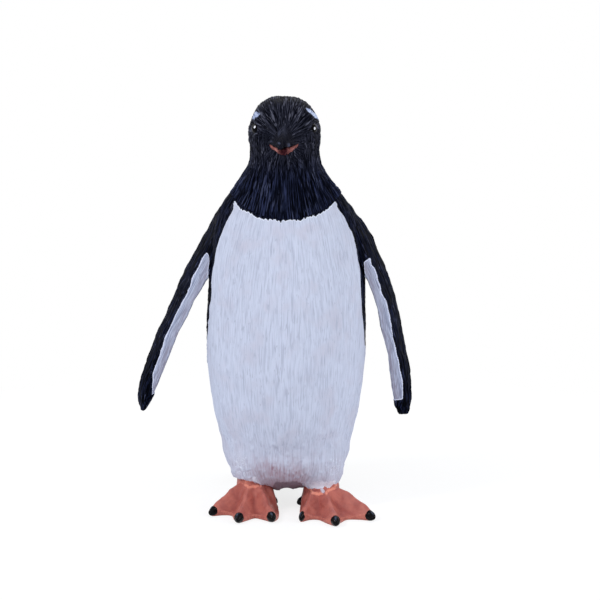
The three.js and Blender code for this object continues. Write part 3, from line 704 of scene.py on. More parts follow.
points, turn, z, under = bellyGrid()
x, y, _ = axes(points)
ahead, lowness = y < 0, fading(z, 15, 22)
curlZone = smooth(z, 5.5, 8) * fading(z, 13, 17.5) * fading(np.abs(turn), 0.9, 1.4)
belly = makeForm(points, wraps=False)
carve(belly, 1, downFlow, front["strokes"], 21)
carve(belly, lowness, downFlow, front["lowStrokes"], 22)
carve(belly, curlZone, downFlow, front["curls"], 23)
cuts = belly["relief"].copy()
white = bibField(points)
belly["relief"] += 0.025 * waves(points, 5.0, 24) + 0.03 * lowness * waves(points, 2.6, 25)
belly["relief"] += 0.1 * waves(points, 1.5, 26) * np.exp(-(x / 3.2) ** 4) * fading(z, 5.2, 6.4) * ahead
belly["relief"] += steps(front["tufts"], x) * fading(z, 4.3, 5.2) * ahead + trimmed(points)
belly["relief"] += bib["raised"] * smooth(white, -0.1, 0.12)
# A purple-grey wash, darker towards the bottom round the middle and faint higher up, taken off under the
# cuffs; the paint deepens it in the grooves as painted shade
lowTint = front["lowTint"]
washedAndShaded = fading(z, *lowTint["levels"]) * np.exp(-((x - lowTint["middle"]) / lowTint["reach"]) ** 4)
washedAndShaded *= 0.98 + 0.15 * waves(points, 3.4, 27) + 0.17 * waves(points * [1, 1, 0.2], 0.75, 29)
washedAndShaded = np.clip(np.maximum(washedAndShaded, lowTint["faint"] * fading(z, *lowTint["faintLevels"])) * ahead, 0, 1)
cuff = spots(points, front["cuffs"])
cuff *= 1 + 0.22 * waves(points * [1, 1, 0.5], 1.3, 20) + 0.12 * waves(points * [1, 1, 0.3], 0.5, 19)
washedAndShaded *= 1 - np.clip(cuff * 1.3, 0, 1)
# Where pale, the white takes the rim's light colour: painted light over the cuffs and low on the legs, where
# the turned-in hem is shaded
pale = np.maximum(cuff, spots(points, front["paintedLight"]) * (1 + 0.1 * waves(points * [1, 1, 0.4], 0.7, 33)))
white = np.where(ahead, np.minimum(white, 0.09 + 0.12 * fading(pale, 0.2, 0.85)), white)
# Painted shadow between the legs, low under the belly
paintedShadow = front["shadowTop"] - z + 0.2 * wobble(x, 0.5, 28) + 0.12 * waves(points, 0.8, 30)
paintedShadow -= 2.2 * smooth(np.abs(x - 0.4), *front["shadowFrom"]) + 4 * smooth(y, 2, 4)
lining = liningPoints(turn * front["liningTurn"], z, under, front["liningLow"])
finished(shellPiece("belly_and_breast", pushed(belly), lining, {
    "relief": cuts, "tone": belly["tone"], "strand": strandsAround(points, **front["strands"]),
    "white": white, "washAndShade": washedAndShaded, "paintedShadow": paintedShadow}), coat, "belly_shell")

# Back shell: the black back down to the rump
print("back shell")
rear = {
    "rows": 192, "columns": 312, "bottom": 3.95, "liningLow": 6.5,
    "strands": {"radius": 14.0, "narrow": 7.0, "lengthwise": 0.1, "drift": 0.08},
    "strokes": {"count": 6000, "length": (0.8, 2.0), "width": (0.1, 0.18), "depth": (0.03, 0.09),
                "sway": 9, "raised": 0.45, "bend": 0.06},
}


def backTurn(z):
    start = partingTurn(z) + halfGap
    return between(start, 2 * math.pi - start, np.linspace(0, 1, rear["columns"] + 1))


z = between(seamOn(backTurn, -seam["gap"] / 2), rear["bottom"], shares(rear["rows"] + 1))
turn = backTurn(z)
radius = bodyRadius(turn, z)
points = onBody(turn, z, radius)
back = makeForm(points, wraps=False)
carve(back, 1, downFlow, rear["strokes"], 31)
cuts = back["relief"].copy()
white = bibField(points)
back["relief"] += 0.06 * waves(points, 5.0, 32) + trimmed(points) + bib["raised"] * smooth(white, -0.1, 0.12)
finished(shellPiece("back", pushed(back), liningPoints(turn, z, radius, rear["liningLow"]), {
    "relief": cuts, "tone": back["tone"], "strand": strandsAround(points, **rear["strands"]),
    "white": white, "paintedShadow": -1}), coat, "back_shell")

# Tail: a wedge of stiff feathers down to the ground
print("tail")
tail = {
    "rootWidth": 15, "tipWidth": 5, "rootThick": 7.6, "tipThick": 1.5, "reach": 9.0, "rootAboveRump": 3.4,
    "tipHeight": 0.75, "narrowing": 0.8, "thinning": 0.6, "feathers": 9, "featherRelief": 0.16, "notch": 0.5,
    "rows": 110, "sides": 132, "strandRun": 1.56,
    "strokes": {"count": 1400, "length": (0.7, 2.2), "width": (0.1, 0.2), "depth": (0.04, 0.1), "sway": 5,
                "raised": 0.4, "bend": 0.03},
}
root = np.array([0, body["back"][0] - tail["rootThick"] / 2, rump + tail["rootAboveRump"]])
tip = np.array([0, body["back"][0] + tail["reach"], tail["tipHeight"]])
tailWay = unit(tip - root)
t, a = shares(tail["rows"]), angles(tail["sides"])
rounded = np.sqrt(1 - (t * 0.995) ** 14)
halfWide = between(tail["rootWidth"], tail["tipWidth"], t ** tail["narrowing"]) / 2
halfThick = between(tail["rootThick"], tail["tipThick"], t ** tail["thinning"]) / 2 * rounded
outward = powered(np.cos(a), 0.8) * halfWide * (0.55 + 0.45 * rounded)
upward = powered(np.sin(a), 0.9) * halfThick
ribs = np.cos(outward / halfWide * math.pi * tail["feathers"] / 2)
notch = -tail["notch"] * smooth(t, 0.85, 1) * (1 - np.abs(ribs))
points = between(root, tip, t[..., None]) + along(
    (notch, tailWay), (outward, [1.0, 0, 0]), (upward, np.cross([1.0, 0, 0], tailWay)))
form = makeForm(points)
carve(form, 1, lambda p: tailWay + 0 * p, tail["strokes"], 41)
form["relief"] += tail["featherRelief"] * (ribs - 0.4) * smooth(t, 0.2, 0.6)
points = pushed(form)
points[..., 2] = np.maximum(points[..., 2], 0.02)
finished(tubePiece("tail", points, {
    "relief": form["relief"], "tone": form["tone"], "white": -1,
    "strand": np.stack([outward, upward, tail["strandRun"] * t + 0 * a], axis=-1)}), coat)

# Hood: head, neck and the black collar that ends on the breast
print("hood")
hood = {
    "columns": 480, "rows": (74, 38, 74), "levelFrom": 64.0, "plugDepth": 2.0,
    "strands": {"radius": 13.0, "narrow": 7.0, "lengthwise": 0.08, "drift": 0.05},
    "strokes": {"count": 3300, "length": (0.7, 1.8), "width": (0.08, 0.12), "depth": (0.03, 0.1),
                "sway": 8, "raised": 0.45, "bend": 0.08},
    "collar": {"count": 1300, "length": (1.6, 3.4), "width": (0.09, 0.14), "depth": (0.03, 0.1),
               "sway": 6, "raised": 0.45, "bend": 0.02},
    "paint": {"whiteHigh": (204, 216, 242), "whiteLow": (172, 186, 222), "drift": (176, 188, 220),
              "whiteGroove": (112, 124, 164), "rim": (150, 162, 200), "rimWidth": 0.1,
              "ridgeHead": (60, 62, 77), "black": (5, 7, 18), "ridge": (45, 52, 82), "dustAndSheen": (60, 66, 92),
              "dustAndSheenHead": (84, 86, 101), "streak": (0.3, 1.2)},
}
# The face's forms: place, reach, height
face = {
    "forwardWay": (0.0, -1.0, -0.12), "middle": -0.35,
    "forward": [((-0.4, -8.3, 73.4), (3.6, 4.0, 2.7), 1.3),  # muzzle
                ((-0.4, -8.6, 76.4), (1.0, 3.0, 1.8), 0.35),  # ridge
                ((-0.5, -8.0, 70.2), (2.6, 3.0, 1.8), 0.35)],  # chin
    "bothSides": [((3.3, -8.2, 74.6), (1.5, 2.5, 1.6), -0.35),  # lores
                  ((4.7, -4.6, 77.6), (2.2, 2.4, 1.3), 0.35),  # brows
                  ((6.0, -3.9, 75.6), (1.7, 1.7, 1.5), -0.42),  # sockets
                  ((4.8, -5.8, 72.4), (2.4, 2.4, 1.8), 0.3)],  # cheeks
    # small uneven places of the outline
    "uneven": [((-6.9, -2, 77.5), (2.2, 4, 1.6), -0.22), ((-7.4, -1, 69.2), (2.2, 4, 2.3), -0.26),
               ((6.9, -1.5, 72.1), (2.2, 4, 1.3), 0.2), ((10.8, -1, 63.1), (2.6, 5, 2.2), 0.2),
               ((-0.4, 0, 81.7), (3.2, 4, 1.0), -0.2), ((7.7, -1, 66.9), (2, 4, 1.2), -0.12),
               ((7.4, -1, 75.4), (2.2, 4, 2.4), 0.17), ((-7.2, -2, 73.9), (2, 3.5, 1), -0.18)],
    "smooth": [((-0.5, -9.5, 73.6), (3.0, 2.6, 2.2), 1.5)],
    # streaks of dust and sheen over the bill's root; painted shade round the bill, and deepest painted shade
    # under it, down the throat
    "tones": [((-1.9, -8.6, 76.5), (0.3, 0.6, 0.3), 3), ((3.4, -7, 75), (2, 2.5, 2), -0.7),
              ((-4.2, -7, 75), (2, 2.5, 1.8), -0.7), ((0, -8.5, 67.2), (5.5, 5, 4), -0.7),
              ((0, -8.5, 67.6), (4.5, 5, 3.5), -0.7)],
}
# White patches over the eyes, thin across the back of the crown: place, half width
patches = {
    "left": [((4.35, -4.0, 78.7), 0.38), ((5.0, -3.3, 78.5), 0.72), ((5.75, -2.2, 77.9), 0.45),
             ((6.4, 0.2, 77.4), 0.2)],
    "right": [((-5.15, -4.75, 78.0), 0.25), ((-6.1, -3.2, 77.95), 0.4), ((-6.5, -1.6, 77.95), 0.35)],
    "behind": [((6.4, 1.0, 77.5), 0.2), ((5.4, 3.2, 78.3), 0.45), ((3.2, 5.1, 79.1), 0.5),
               ((-0.35, 5.9, 79.5), 0.5), ((-3.9, 5.1, 79.1), 0.5), ((-6.1, 3.2, 78.3), 0.45),
               ((-7.1, 1.0, 77.6), 0.2)],
}
billFoot = np.array([-0.5, -8.2, 73.6])


def hoodFlow(p):
    x, y, z = (p[:, k:k + 1] for k in range(3))
    down = 0.8 * smooth(y, -4, 6) + 1.2 * fading(z, 66, 73) + 0.6 * fading(z, 71.5, 74)
    down += 0.7 * smooth(np.abs(x), 3, 7) * fading(z, 72, 77)
    return unit(p - billFoot) + np.array([0.0, 0.0, -1.0]) * down


def strandsRadial(points):
    fromBill = points - billFoot
    farness = np.linalg.norm(fromBill, axis=-1, keepdims=True)
    around = fromBill * [1, 0, 1]  # which way from the bill, seen from the front
    around = 9.5 * around / np.maximum(np.linalg.norm(around, axis=-1, keepdims=True), 1.5)
    return around + farness * [0, 0.1, 0] + 0.05 * waves(points, 9.0, 56)[..., None]


def patchField(points):
    best = np.full(points.shape[:-1], -9.0)
    for line in patches.values():
        for (p, rp), (q, rq) in zip(line, line[1:]):
            p, q = np.array(p), np.array(q)
            t = np.clip((points - p) @ (q - p) / np.dot(q - p, q - p), 0, 1)
            away = np.linalg.norm(points - p - t[..., None] * (q - p), axis=-1)
            best = np.maximum(best, between(rp, rq, t) - away + 0.35)
    return best


headTurn = angles(hood["columns"])
hoodEdge = seamOn(lambda z: headTurn, seam["gap"] / 2)
level = np.full_like(headTurn, hood["levelFrom"])
rowsCollar, rowsNeck, rowsCrown = hood["rows"]
z = np.concatenate([
    rowsBetween(hoodEdge, level, rowsCollar), rowsBetween(level, brow, rowsNeck),
    brow + body["crownRise"] * np.sin(rowsBetween(0 * headTurn, math.pi / 2, rowsCrown))])
points = onBody(headTurn, z, bodyRadius(headTurn, z))
bothSides = [((side * x + face["middle"], y, height), reach, amount)
             for (x, y, height), reach, amount in face["bothSides"] for side in sides.values()]
points = points + along((spots(points, face["forward"]), np.array(face["forwardWay"])),
                        (spots(points, bothSides + face["uneven"]), makeForm(points)["normal"]))
head = makeForm(points)
x, y, _ = axes(points)
smoothFace, lowNeck = np.clip(spots(points, face["smooth"]), 0, 1), fading(z, 66, 70)
carve(head, (1 - 0.96 * smoothFace) * (1 - 0.75 * lowNeck), hoodFlow, hood["strokes"], 51)
carve(head, lowNeck, hoodFlow, hood["collar"], 53)
cuts = head["relief"] * (1 - 0.75 * smoothFace) * (1 - 0.3 * smooth(z, 76, 79))
head["relief"] = cuts + 0.05 * waves(points, 4.0, 52)
# More streaks towards the crown as painted sheen, then random tone and the face's tones
head["tone"] += 0.15 * smooth(z, 75, 79) + 0.35 * waves(points, 2.5, 55) + spots(points, face["tones"])
cool = np.clip(fading(z, 65, 71) + smooth(y, -2, 5), 0, 1)
cheeks = smooth(np.abs(x), 2.2, 4.5) * fading(z, 73.5, 76)
hoodFields = {
    "relief": cuts, "tone": head["tone"], "strand": strandsRadial(points),
    "strandDown": strandsAround(points, **hood["strands"]),
    "turn": np.clip(cool + cheeks, 0, 1), "cool": cool,
    "white": patchField(points) + 0.12 * waves(points, 0.8, 54) - 0.8 * np.abs(cuts),
    "paintedShadow": np.full_like(z, -1),
}
# The crown comes first, and the last two rings are the flat plug inside the neck
inset = onBody(headTurn, hoodEdge, bodyRadius(headTurn, hoodEdge) - body["wall"])[None]
rings = np.concatenate([inset - [0, 0, hood["plugDepth"]], inset, pushed(head)])[::-1]
for key, values in hoodFields.items():
    plug = np.full((2, *values.shape[1:]), -1.0 if key in ("white", "paintedShadow") else 0.0)
    hoodFields[key] = np.concatenate([plug, values])[::-1]
finished(tubePiece("hood", rings, hoodFields, flatRings=2),
         plumagePaint("hood paint", {**plumage, **hood["paint"]}, turning=True), "head_cap")

# Bill: a dark upper half with a ridge and a hooked tip, and a red lower half under it
print("bill")
bill = {
    "upperDark": (12, 13, 22), "upperStreak": (38, 39, 50), "upperLight": (74, 78, 98),
    "downBlack": (11, 13, 24), "downRidge": (56, 58, 70),
    "red": (112, 68, 68), "orange": (156, 98, 92), "paleRed": (196, 134, 128), "redDark": (50, 18, 26),
    "rough": (0.34, 0.5), "shine": 0.008, "rows": 90, "sides": 96,
    "footY": -6.5, "tipY": -16.1, "lowerTipY": -15.3, "lowerMiddle": -0.35, "fringe": 0.42, "lipDepth": 0.98,
    # along the bill from its foot to its tip
    "middle": [(0, -0.35), (0.5, -0.4), (0.8, -0.7), (1, -0.95)],
    "width": [(0, 3.4), (0.27, 2.9), (0.45, 2.35), (0.68, 1.5), (0.85, 0.95), (1, 0.42)],
    "ridge": [(0, 77.9), (0.2, 77.05), (0.45, 76.0), (0.7, 74.85), (0.88, 74.0), (1, 73.1)],
    "mouth": [(0, 73.3), (0.27, 73.05), (0.5, 72.9), (0.75, 72.75), (0.9, 72.7), (1, 72.6)],
    "lowerWidth": [(0, 3.1), (0.284, 2.75), (0.51, 2.3), (0.74, 1.6), (0.91, 0.95), (1, 0.35)],
    "lowerTop": [(0, 72.9), (0.28, 72.8), (0.65, 72.5), (1, 72.15)],
    "lowerThick": [(0, 1.3), (0.3, 1.25), (0.7, 1.35), (1, 1.02)],
    # small forms, painted highlights above, and pale painted highlights below: place, reach, amount
    "bumps": [((-1.4, -14.6, 73.45), (0.42, 0.8, 0.42), 0.42), ((-0.12, -15.0, 73.2), (0.2, 1.2, 0.7), -0.45),
              ((0.55, -14.0, 73.2), (0.5, 0.8, 0.4), 0.12), ((-2.3, -12.6, 73.6), (0.5, 0.9, 0.3), 0.14),
              ((-0.75, -12.8, 74.1), (0.25, 0.7, 0.25), -0.15)],
    "paintedLight": [((-1.25, -10.8, 75.0), (0.4, 2.2, 1.0), 0.6), ((0.76, -13.6, 72.95), (0.5, 1.0, 0.45), 1.1),
             ((-2.85, -10.2, 73.4), (0.6, 1.2, 0.24), 0.8), ((-0.2, -11.2, 75.6), (0.75, 3.6, 2.2), 0.5),
             ((-1.13, -15.5, 73.42), (0.22, 0.5, 0.2), 1.5)],
    "pale": [((-1.75, -13.0, 71.95), (0.6, 1.2, 0.4), 1.0), ((1.5, -12.2, 72.1), (0.8, 1.6, 0.16), 0.8)],
}


def billPaint(name, plan):
    material = newPaint(name)
    fine, hair = speckle(0.3), strandNoise("strand", 0.25)
    # painted highlights on the bill, paler on the red
    light = times(ranged(field("paintedLight"), 0.15, 0.9), ranged(hair, 0.35, 0.6, 0.4, 1.0))
    down = blended(ranged(hair, 0.53, 0.63), plan["downBlack"], plan["downRidge"])
    dark = layered(plan["upperDark"], (ranged(hair, 0.5, 0.64), plan["upperStreak"]),
                   (field("downy"), down), (light, plan["upperLight"]))
    warm = layered(plan["red"], (ranged(fine, 0.42, 0.62), plan["orange"]),
                   (light, plan["paleRed"]), (field("shade"), plan["redDark"]))
    edge = plus(field("lip"), ranged(fine, 0.3, 0.7, -0.1, 0.1))
    coated(blended(ranged(edge, -0.06, 0.06), dark, warm), ranged(speckle(0.9), 0.3, 0.7, *plan["rough"]),
           plan["shine"], fine, 0.02)
    return material


horn = billPaint("bill horn", bill)
t, a = shares(bill["rows"]), angles(bill["sides"])
sway, swing = np.sin(a), np.cos(a)
middle, wide, ridge, mouth = (steps(bill[key], t) for key in ("middle", "width", "ridge", "mouth"))
acrossBill = wide * powered(swing, 0.85)
peak = np.clip(1 - (np.abs(acrossBill) / wide) ** 1.15, 0, 1)  # roof-shaped above
above = mouth + (ridge - mouth) * (0.12 + 0.88 * peak) * np.abs(sway) ** 0.6
below = mouth - (0.2 + bill["fringe"] * np.abs(wobble(acrossBill, 0.3, 67))) * np.abs(sway) ** 0.7
points = np.stack([middle + acrossBill, between(bill["footY"], bill["tipY"], t) + 0 * a,
                   np.where(sway > 0, above, below)], axis=-1)
form = makeForm(points)
form["relief"] += spots(points, bill["bumps"]) + 0.05 * waves(points, 0.9, 61)
form["relief"] += 0.03 * waves(points * [1, 0.3, 1], 0.4, 65)
finished(tubePiece("upper_bill", pushed(form), {
    "paintedLight": spots(points, bill["paintedLight"]), "lip": -1, "strand": strandsRadial(points),
    "downy": fading(t, 0.26, 0.52)}), horn)

wide, top, thick = (steps(bill[key], t) for key in ("lowerWidth", "lowerTop", "lowerThick"))
height = np.where(sway > 0, top + 0.04 * sway, top + thick * sway * (1 - 0.25 * np.abs(swing)))
points = np.stack([bill["lowerMiddle"] + wide * powered(swing, 0.6),
                   between(bill["footY"], bill["lowerTipY"], t) + 0 * a, height], axis=-1)
form = makeForm(points)
form["relief"] += 0.08 * waves(points, 0.8, 62) + 0.04 * waves(points, 0.35, 63)
# Darker red in the middle: darker paint and the painted shadow of the hooked tip
centre = 0.95 * np.exp(-((points[..., 0] - bill["lowerMiddle"]) / 0.95) ** 4)
finished(tubePiece("lower_bill", pushed(form), {
    "paintedLight": spots(points, bill["pale"]), "strand": strandsRadial(points),
    "lip": bill["lipDepth"] - (top - height) + 0.12 * waves(points, 0.8, 64),
    "shade": np.clip(centre + 0.1 * waves(points, 0.7, 68), 0, 1)}), horn)

# Eyes: glossy beads with a painted catchlight, in rings of lid
print("eyes")
eye = {
    "radius": 1.1, "height": 75.6, "turn": {"left": 58, "right": 55}, "sunk": 0.68, "squash": 0.94,
    "rows": 70, "sides": 90,
    "colour": (5, 5, 8), "clouded": (16, 12, 14), "shine": 0.03, "rough": (0.08, 0.12),
    # a painted catchlight, a painted highlight, on each bead
    "catchlight": (236, 238, 246), "catchlightSize": 0.21, "catchlightLong": 0.72,
    "catchlightAt": {"left": (0.62, -0.785, 0.07), "right": (-0.47, -0.81, 0.36)},  # which way it looks
    "lid": {"fat": 0.045, "seat": 0.42, "proud": 0.02, "squash": 0.9, "rows": 96, "sides": 16},
}


def eyePaint(name, plan):
    material = newPaint(name)
    dark = blended(ranged(speckle(0.5), 0.4, 0.7), plan["colour"], plan["clouded"])
    # the painted catchlight over the dark bead
    coated(blended(ranged(field("catchlight"), -0.03, 0.03), dark, plan["catchlight"]),
           ranged(speckle(0.3), 0.3, 0.7, *plan["rough"]), plan["shine"])
    return material


# A soft ring of skin round the bead
def makeLid(name, side, middle, out, aside, rise):
    lid, n = eye["lid"], eye["lid"]["sides"]
    around, small = angles(lid["rows"])[:, None], angles(n)
    ringWay = along((np.cos(around), aside), (np.sin(around) * lid["squash"], rise))
    ringRadius = math.sqrt(eye["radius"] ** 2 - lid["seat"] ** 2) + lid["proud"]
    fat = lid["fat"] * (1 + 0.25 * np.sin(3 * around + side))
    core = middle + out * (lid["seat"] + lid["proud"]) + ringWay * ringRadius
    points = core + along((fat * np.cos(small), ringWay), (fat * np.sin(small), out))
    points, core = points.reshape(-1, 3), core.repeat(n, axis=1).reshape(-1, 3)
    quads, _ = gridFaces(lid["rows"], n, (0, 0), (1, 1), loops=True)
    if facesInward(points, quads, core[quads[:, 0]]):
        quads = quads[:, ::-1]
    uv = np.tile([[0.1, 0.1], [0.2, 0.1], [0.2, 0.2], [0.1, 0.2]], (len(quads), 1))
    finished(buildMesh(name, points, quads, np.zeros((0, 3), int), len(quads), [uv], {
        "white": np.full(len(points), -1.0), "strand": points,
        # relief held low so the lid takes the groove black all over: painted shade in the socket
        "relief": -0.3 + 0.03 * waves(points, 0.5, 71)}), coat)


glass = eyePaint("eye gloss", eye)
share = domeShare(np.float64(eye["height"]))
polar, a = np.linspace(0.02, math.pi - 0.02, eye["rows"])[:, None], angles(eye["sides"])
for name, side in sides.items():
    turned = math.radians(eye["turn"][name]) * side
    surface = np.array([body["lean"][-1] + share * body["halfWidth"][-1] * math.sin(turned),
                        -share * body["front"][-1] * math.cos(turned), eye["height"]])
    out = unit(np.array([math.sin(turned), -math.cos(turned), (eye["height"] - brow) / body["crownRise"]]))
    middle = surface - out * eye["sunk"]
    aside = unit(np.cross(out, [0, 0, 1.0]))
    rise = np.cross(aside, out)
    rings = middle + eye["radius"] * along((np.cos(polar), out), (np.sin(polar) * np.cos(a), aside),
                                           (np.sin(polar) * np.sin(a) * eye["squash"], rise))
    look = middle + unit(np.array(eye["catchlightAt"][name])) * eye["radius"]
    catchlight = eye["catchlightSize"] - np.linalg.norm((rings - look) * [1, 1, eye["catchlightLong"]], axis=-1)
    tips = [middle + out * eye["radius"], middle - out * eye["radius"]]
    bead = tubePiece(name + "_eye", rings, {"catchlight": catchlight}, tips)
    finished(bead, glass, name + "_eye_bead")
    makeLid(name + "_eyelid", side, middle, out, aside, rise)

# Flippers
print("flippers")
flipper = {
    "shoulder": (14, 56), "rootChord": 9, "midChord": 10.8, "tipChord": 6.6, "rootThick": 3.6, "tipThick": 2,
    "twist": 27, "rows": 190, "sides": 132, "finePoints": 2000, "recess": 0.22, "wrap": 0.75,
    "strandRun": 4.14,
    # the flipper's whites darker than the belly's: painted shade
    "paint": {"whiteLow": (144, 153, 180), "whiteHigh": (184, 193, 218), "drift": (166, 172, 195),
              "whiteGroove": (128, 134, 160), "rim": (216, 222, 246), "washAndShade": (150, 146, 164),
              "groove": (1, 2, 6), "black": (1, 2, 9), "ridge": (26, 32, 56), "dustAndSheen": (64, 69, 96),
              "streak": (0.6, 1.8)},
    "strokes": {"count": 3000, "length": (0.7, 2.0), "width": (0.1, 0.18), "depth": (0.02, 0.065), "sway": 8,
                "raised": 0.45, "bend": 0.06},
    # The spine runs out, back and up from the shoulder. Then come the white patch's edge, seen from the
    # front, with its top, bottom and inner side, and how far the blade's outer and inner edges move out
    # from the plain form, as pairs of height and distance (the top's are distance and height).
    "left": {
        "spine": [[-3.2, 0.4, 4.8], [1.4, 0.8, -3.4], [5.3, 1.2, -13.1], [7.8, 1.7, -22.8],
                  [9.2, 2.2, -32.6], [9.4, 2.5, -38.95]],
        "patch": [(20.4, 23.66), (24.1, 23.5), (28.6, 22.6), (32.9, 21.6), (35.6, 21.1), (38.15, 20.72),
                  (40.1, 20.2), (40.95, 20), (42.4, 19.08), (44.5, 18.6), (46.3, 18.15), (47.6, 17.6),
                  (48.2, 17.05), (49.5, 16.7)],
        "top": [(14, 48.9), (15.5, 49.2), (16.26, 49.45), (16.7, 49.8), (20, 51)],
        "bottom": 20.3,
        "inside": [(44.3, 13), (44.7, 15.7), (50, 15.45)],
        "outer": [(18, 1.1), (20, 1.0), (21.6, 0.82), (26.5, 0.58), (28.2, 0.36), (29.8, -0.04),
                  (31.4, -0.1), (34.7, -0.2), (38, -0.26), (41, -0.38), (44.9, -0.48), (48, -0.55),
                  (51.3, -0.62), (53, -0.45), (57.7, -0.22), (59.3, 0.34), (61, 0.3)],
        "inner": [(18, -0.2), (21.6, -0.4), (23.2, -0.5), (26.5, -0.35), (29.8, 0), (36, -0.18),
                  (39.6, 0.35), (43, 0.4), (50, 0.3), (61, 0)],
    },
    "right": {
        "spine": [[-3.4, 0.4, 4.8], [1, 0.8, -3.4], [5.4, 1.2, -13.1], [10.1, 1.7, -22.8],
                  [13.7, 2.2, -32.6], [15.1, 2.5, -38.15]],
        "patch": [(22.2, 27), (26, 26.8), (29.6, 25.5), (34, 24), (38.75, 21.75), (42.6, 19.65),
                  (43.8, 19.15), (45.3, 18.75), (46.1, 18.4), (47.8, 17.4), (49.1, 16.9), (49.85, 16.5),
                  (50.6, 15.9)],
        "top": [(14, 47.5), (14.9, 48.6), (15.15, 49.6), (15.5, 50.5), (16, 50.9), (20, 51.2)],
        "bottom": 21.8,
        "inside": [(44.8, 13), (45.3, 15.4), (48, 15.3), (50, 15.1)],
        "outer": [(18.3, 0.2), (20, 0.66), (23.2, 0.7), (24.9, 0.62), (26.5, 0.42), (29.8, 0.18), (33, 0.04),
                  (34.8, -0.1), (36.5, -0.36), (38, -0.26), (40.4, -0.38), (43.3, -0.18), (46.5, -0.14),
                  (49.7, -0.52), (52.9, -0.7), (54.5, -0.56), (56.1, -0.2), (57.7, 0.36), (59.3, 0.62),
                  (61, 0.45)],
        "inner": [(18.3, 0.2), (20, 0), (24, -0.2), (28, -0.15), (31.4, 0), (34.7, 0.4), (38, 0.4),
                  (41.2, 0.75), (43, 0.45), (45, 0.25), (50, 0.1), (61, 0)],
    },
}


def makeFlipper(name, side, paint):
    own, fine = flipper[name], flipper["finePoints"]
    out, back, up = np.array(own["spine"]).T
    spine = np.stack([side * (flipper["shoulder"][0] + out), back, flipper["shoulder"][1] + up], axis=1)
    fineLine = smoothCurve(spine, False, fine + 1)
    t = np.sin(math.pi / 2 * np.linspace(0, 1, flipper["rows"]) ** 0.92 * 0.996) ** 0.9
    at = np.clip(t * fine, 0, fine - 0.001)
    i = at.astype(int)
    middle = between(fineLine[i], fineLine[i + 1], (at - i)[:, None])
    tangent = unit(np.gradient(fineLine, axis=0))[i]
    backWay = unit(np.array([0.0, 1.0, 0.0]) - tangent * tangent[:, 1:2])
    inward = side * np.cross(tangent, backWay)
    twist = np.radians(flipper["twist"] * (0.3 + 0.7 * smooth(t, 0, 0.24)))[:, None]
    chordWay = backWay * np.cos(twist) + inward * np.sin(twist)
    thickWay = inward * np.cos(twist) - backWay * np.sin(twist)
    rounded = np.sqrt((1 - t ** 11) * (1 - 0.97 * (1 - np.clip(t / 0.13, 0, 1)) ** 2))
    grown = between(flipper["rootChord"], flipper["midChord"], smooth(t, 0, 0.4))
    halfChord = between(grown, flipper["tipChord"], smooth(t, 0.35, 1)) / 2 * rounded
    halfThick = between(flipper["rootThick"], flipper["tipThick"], t ** 0.6) / 2 * rounded
    a = angles(flipper["sides"])
    chordAt = halfChord[:, None] * np.cos(a)
    thickAt = halfThick[:, None] * (np.sin(a) * (1 - 0.22 * (1 + np.cos(a))))
    points = middle[:, None] + along((chordAt, chordWay[:, None]), (thickAt, thickWay[:, None]))
    x, y, z = axes(points)
    far = np.abs(x)
    nearest, farthest = far.min(axis=1, keepdims=True), far.max(axis=1, keepdims=True)
    share = (far - nearest) / np.maximum(farthest - nearest, 0.1)
    x = x + side * between(steps(own["inner"], z), steps(own["outer"], z), share)
    points = np.stack([x, y, z], axis=-1)
    blade = makeForm(points)
    flowWay = unit(tangent + 0.12 * chordWay)
    carve(blade, 1, lambda p: flowWay[np.argmin((p[:, None, 2] - middle[:, 2]) ** 2, axis=1)],
          flipper["strokes"], 81 + side)
    cuts = blade["relief"].copy()
    far, beyond = np.abs(x), np.abs(a - math.pi / 2 - 0.15)  # how far round from the painted face's middle
    patch = np.min(np.broadcast_arrays(
        steps(own["patch"], z) - far + 0.05 * wobble(z, 0.9, 84 + side),
        0.7 * (steps(own["top"], far) - 0.12 * np.abs(wobble(x, 0.5, 86)) - z),
        z - own["bottom"] - 0.3 * wobble(x, 0.8, 87), far - steps(own["inside"], z),
        2.5 * (math.pi / 2 + flipper["wrap"] - np.minimum(beyond, 2 * math.pi - beyond))), axis=0)
    blade["relief"] = (blade["relief"] + 0.025 * waves(points, 3.0, 83)) * (1 - 0.5 * smooth(patch, 0, 0.3))
    blade["relief"] -= flipper["recess"] * smooth(patch, -0.05, 0.35)
    run = flipper["strandRun"] * t[:, None] + 0.1 * waves(points, 8.0, 88)
    finished(tubePiece(name + "_flipper_blade", pushed(blade), {
        "relief": cuts, "tone": blade["tone"] - 0.3, "strand": np.stack([chordAt, thickAt, run], axis=-1),
        # painted shade on the white towards its inner edge
        "white": patch, "washAndShade": 0.9 * smooth(-np.cos(a), 0.35, 1.05), "paintedShadow": -1}),
        paint, name + "_flipper")


flipperCoat = plumagePaint("flipper paint", {**plumage, **flipper["paint"]})
for name, side in sides.items():
    makeFlipper(name, side, flipperCoat)

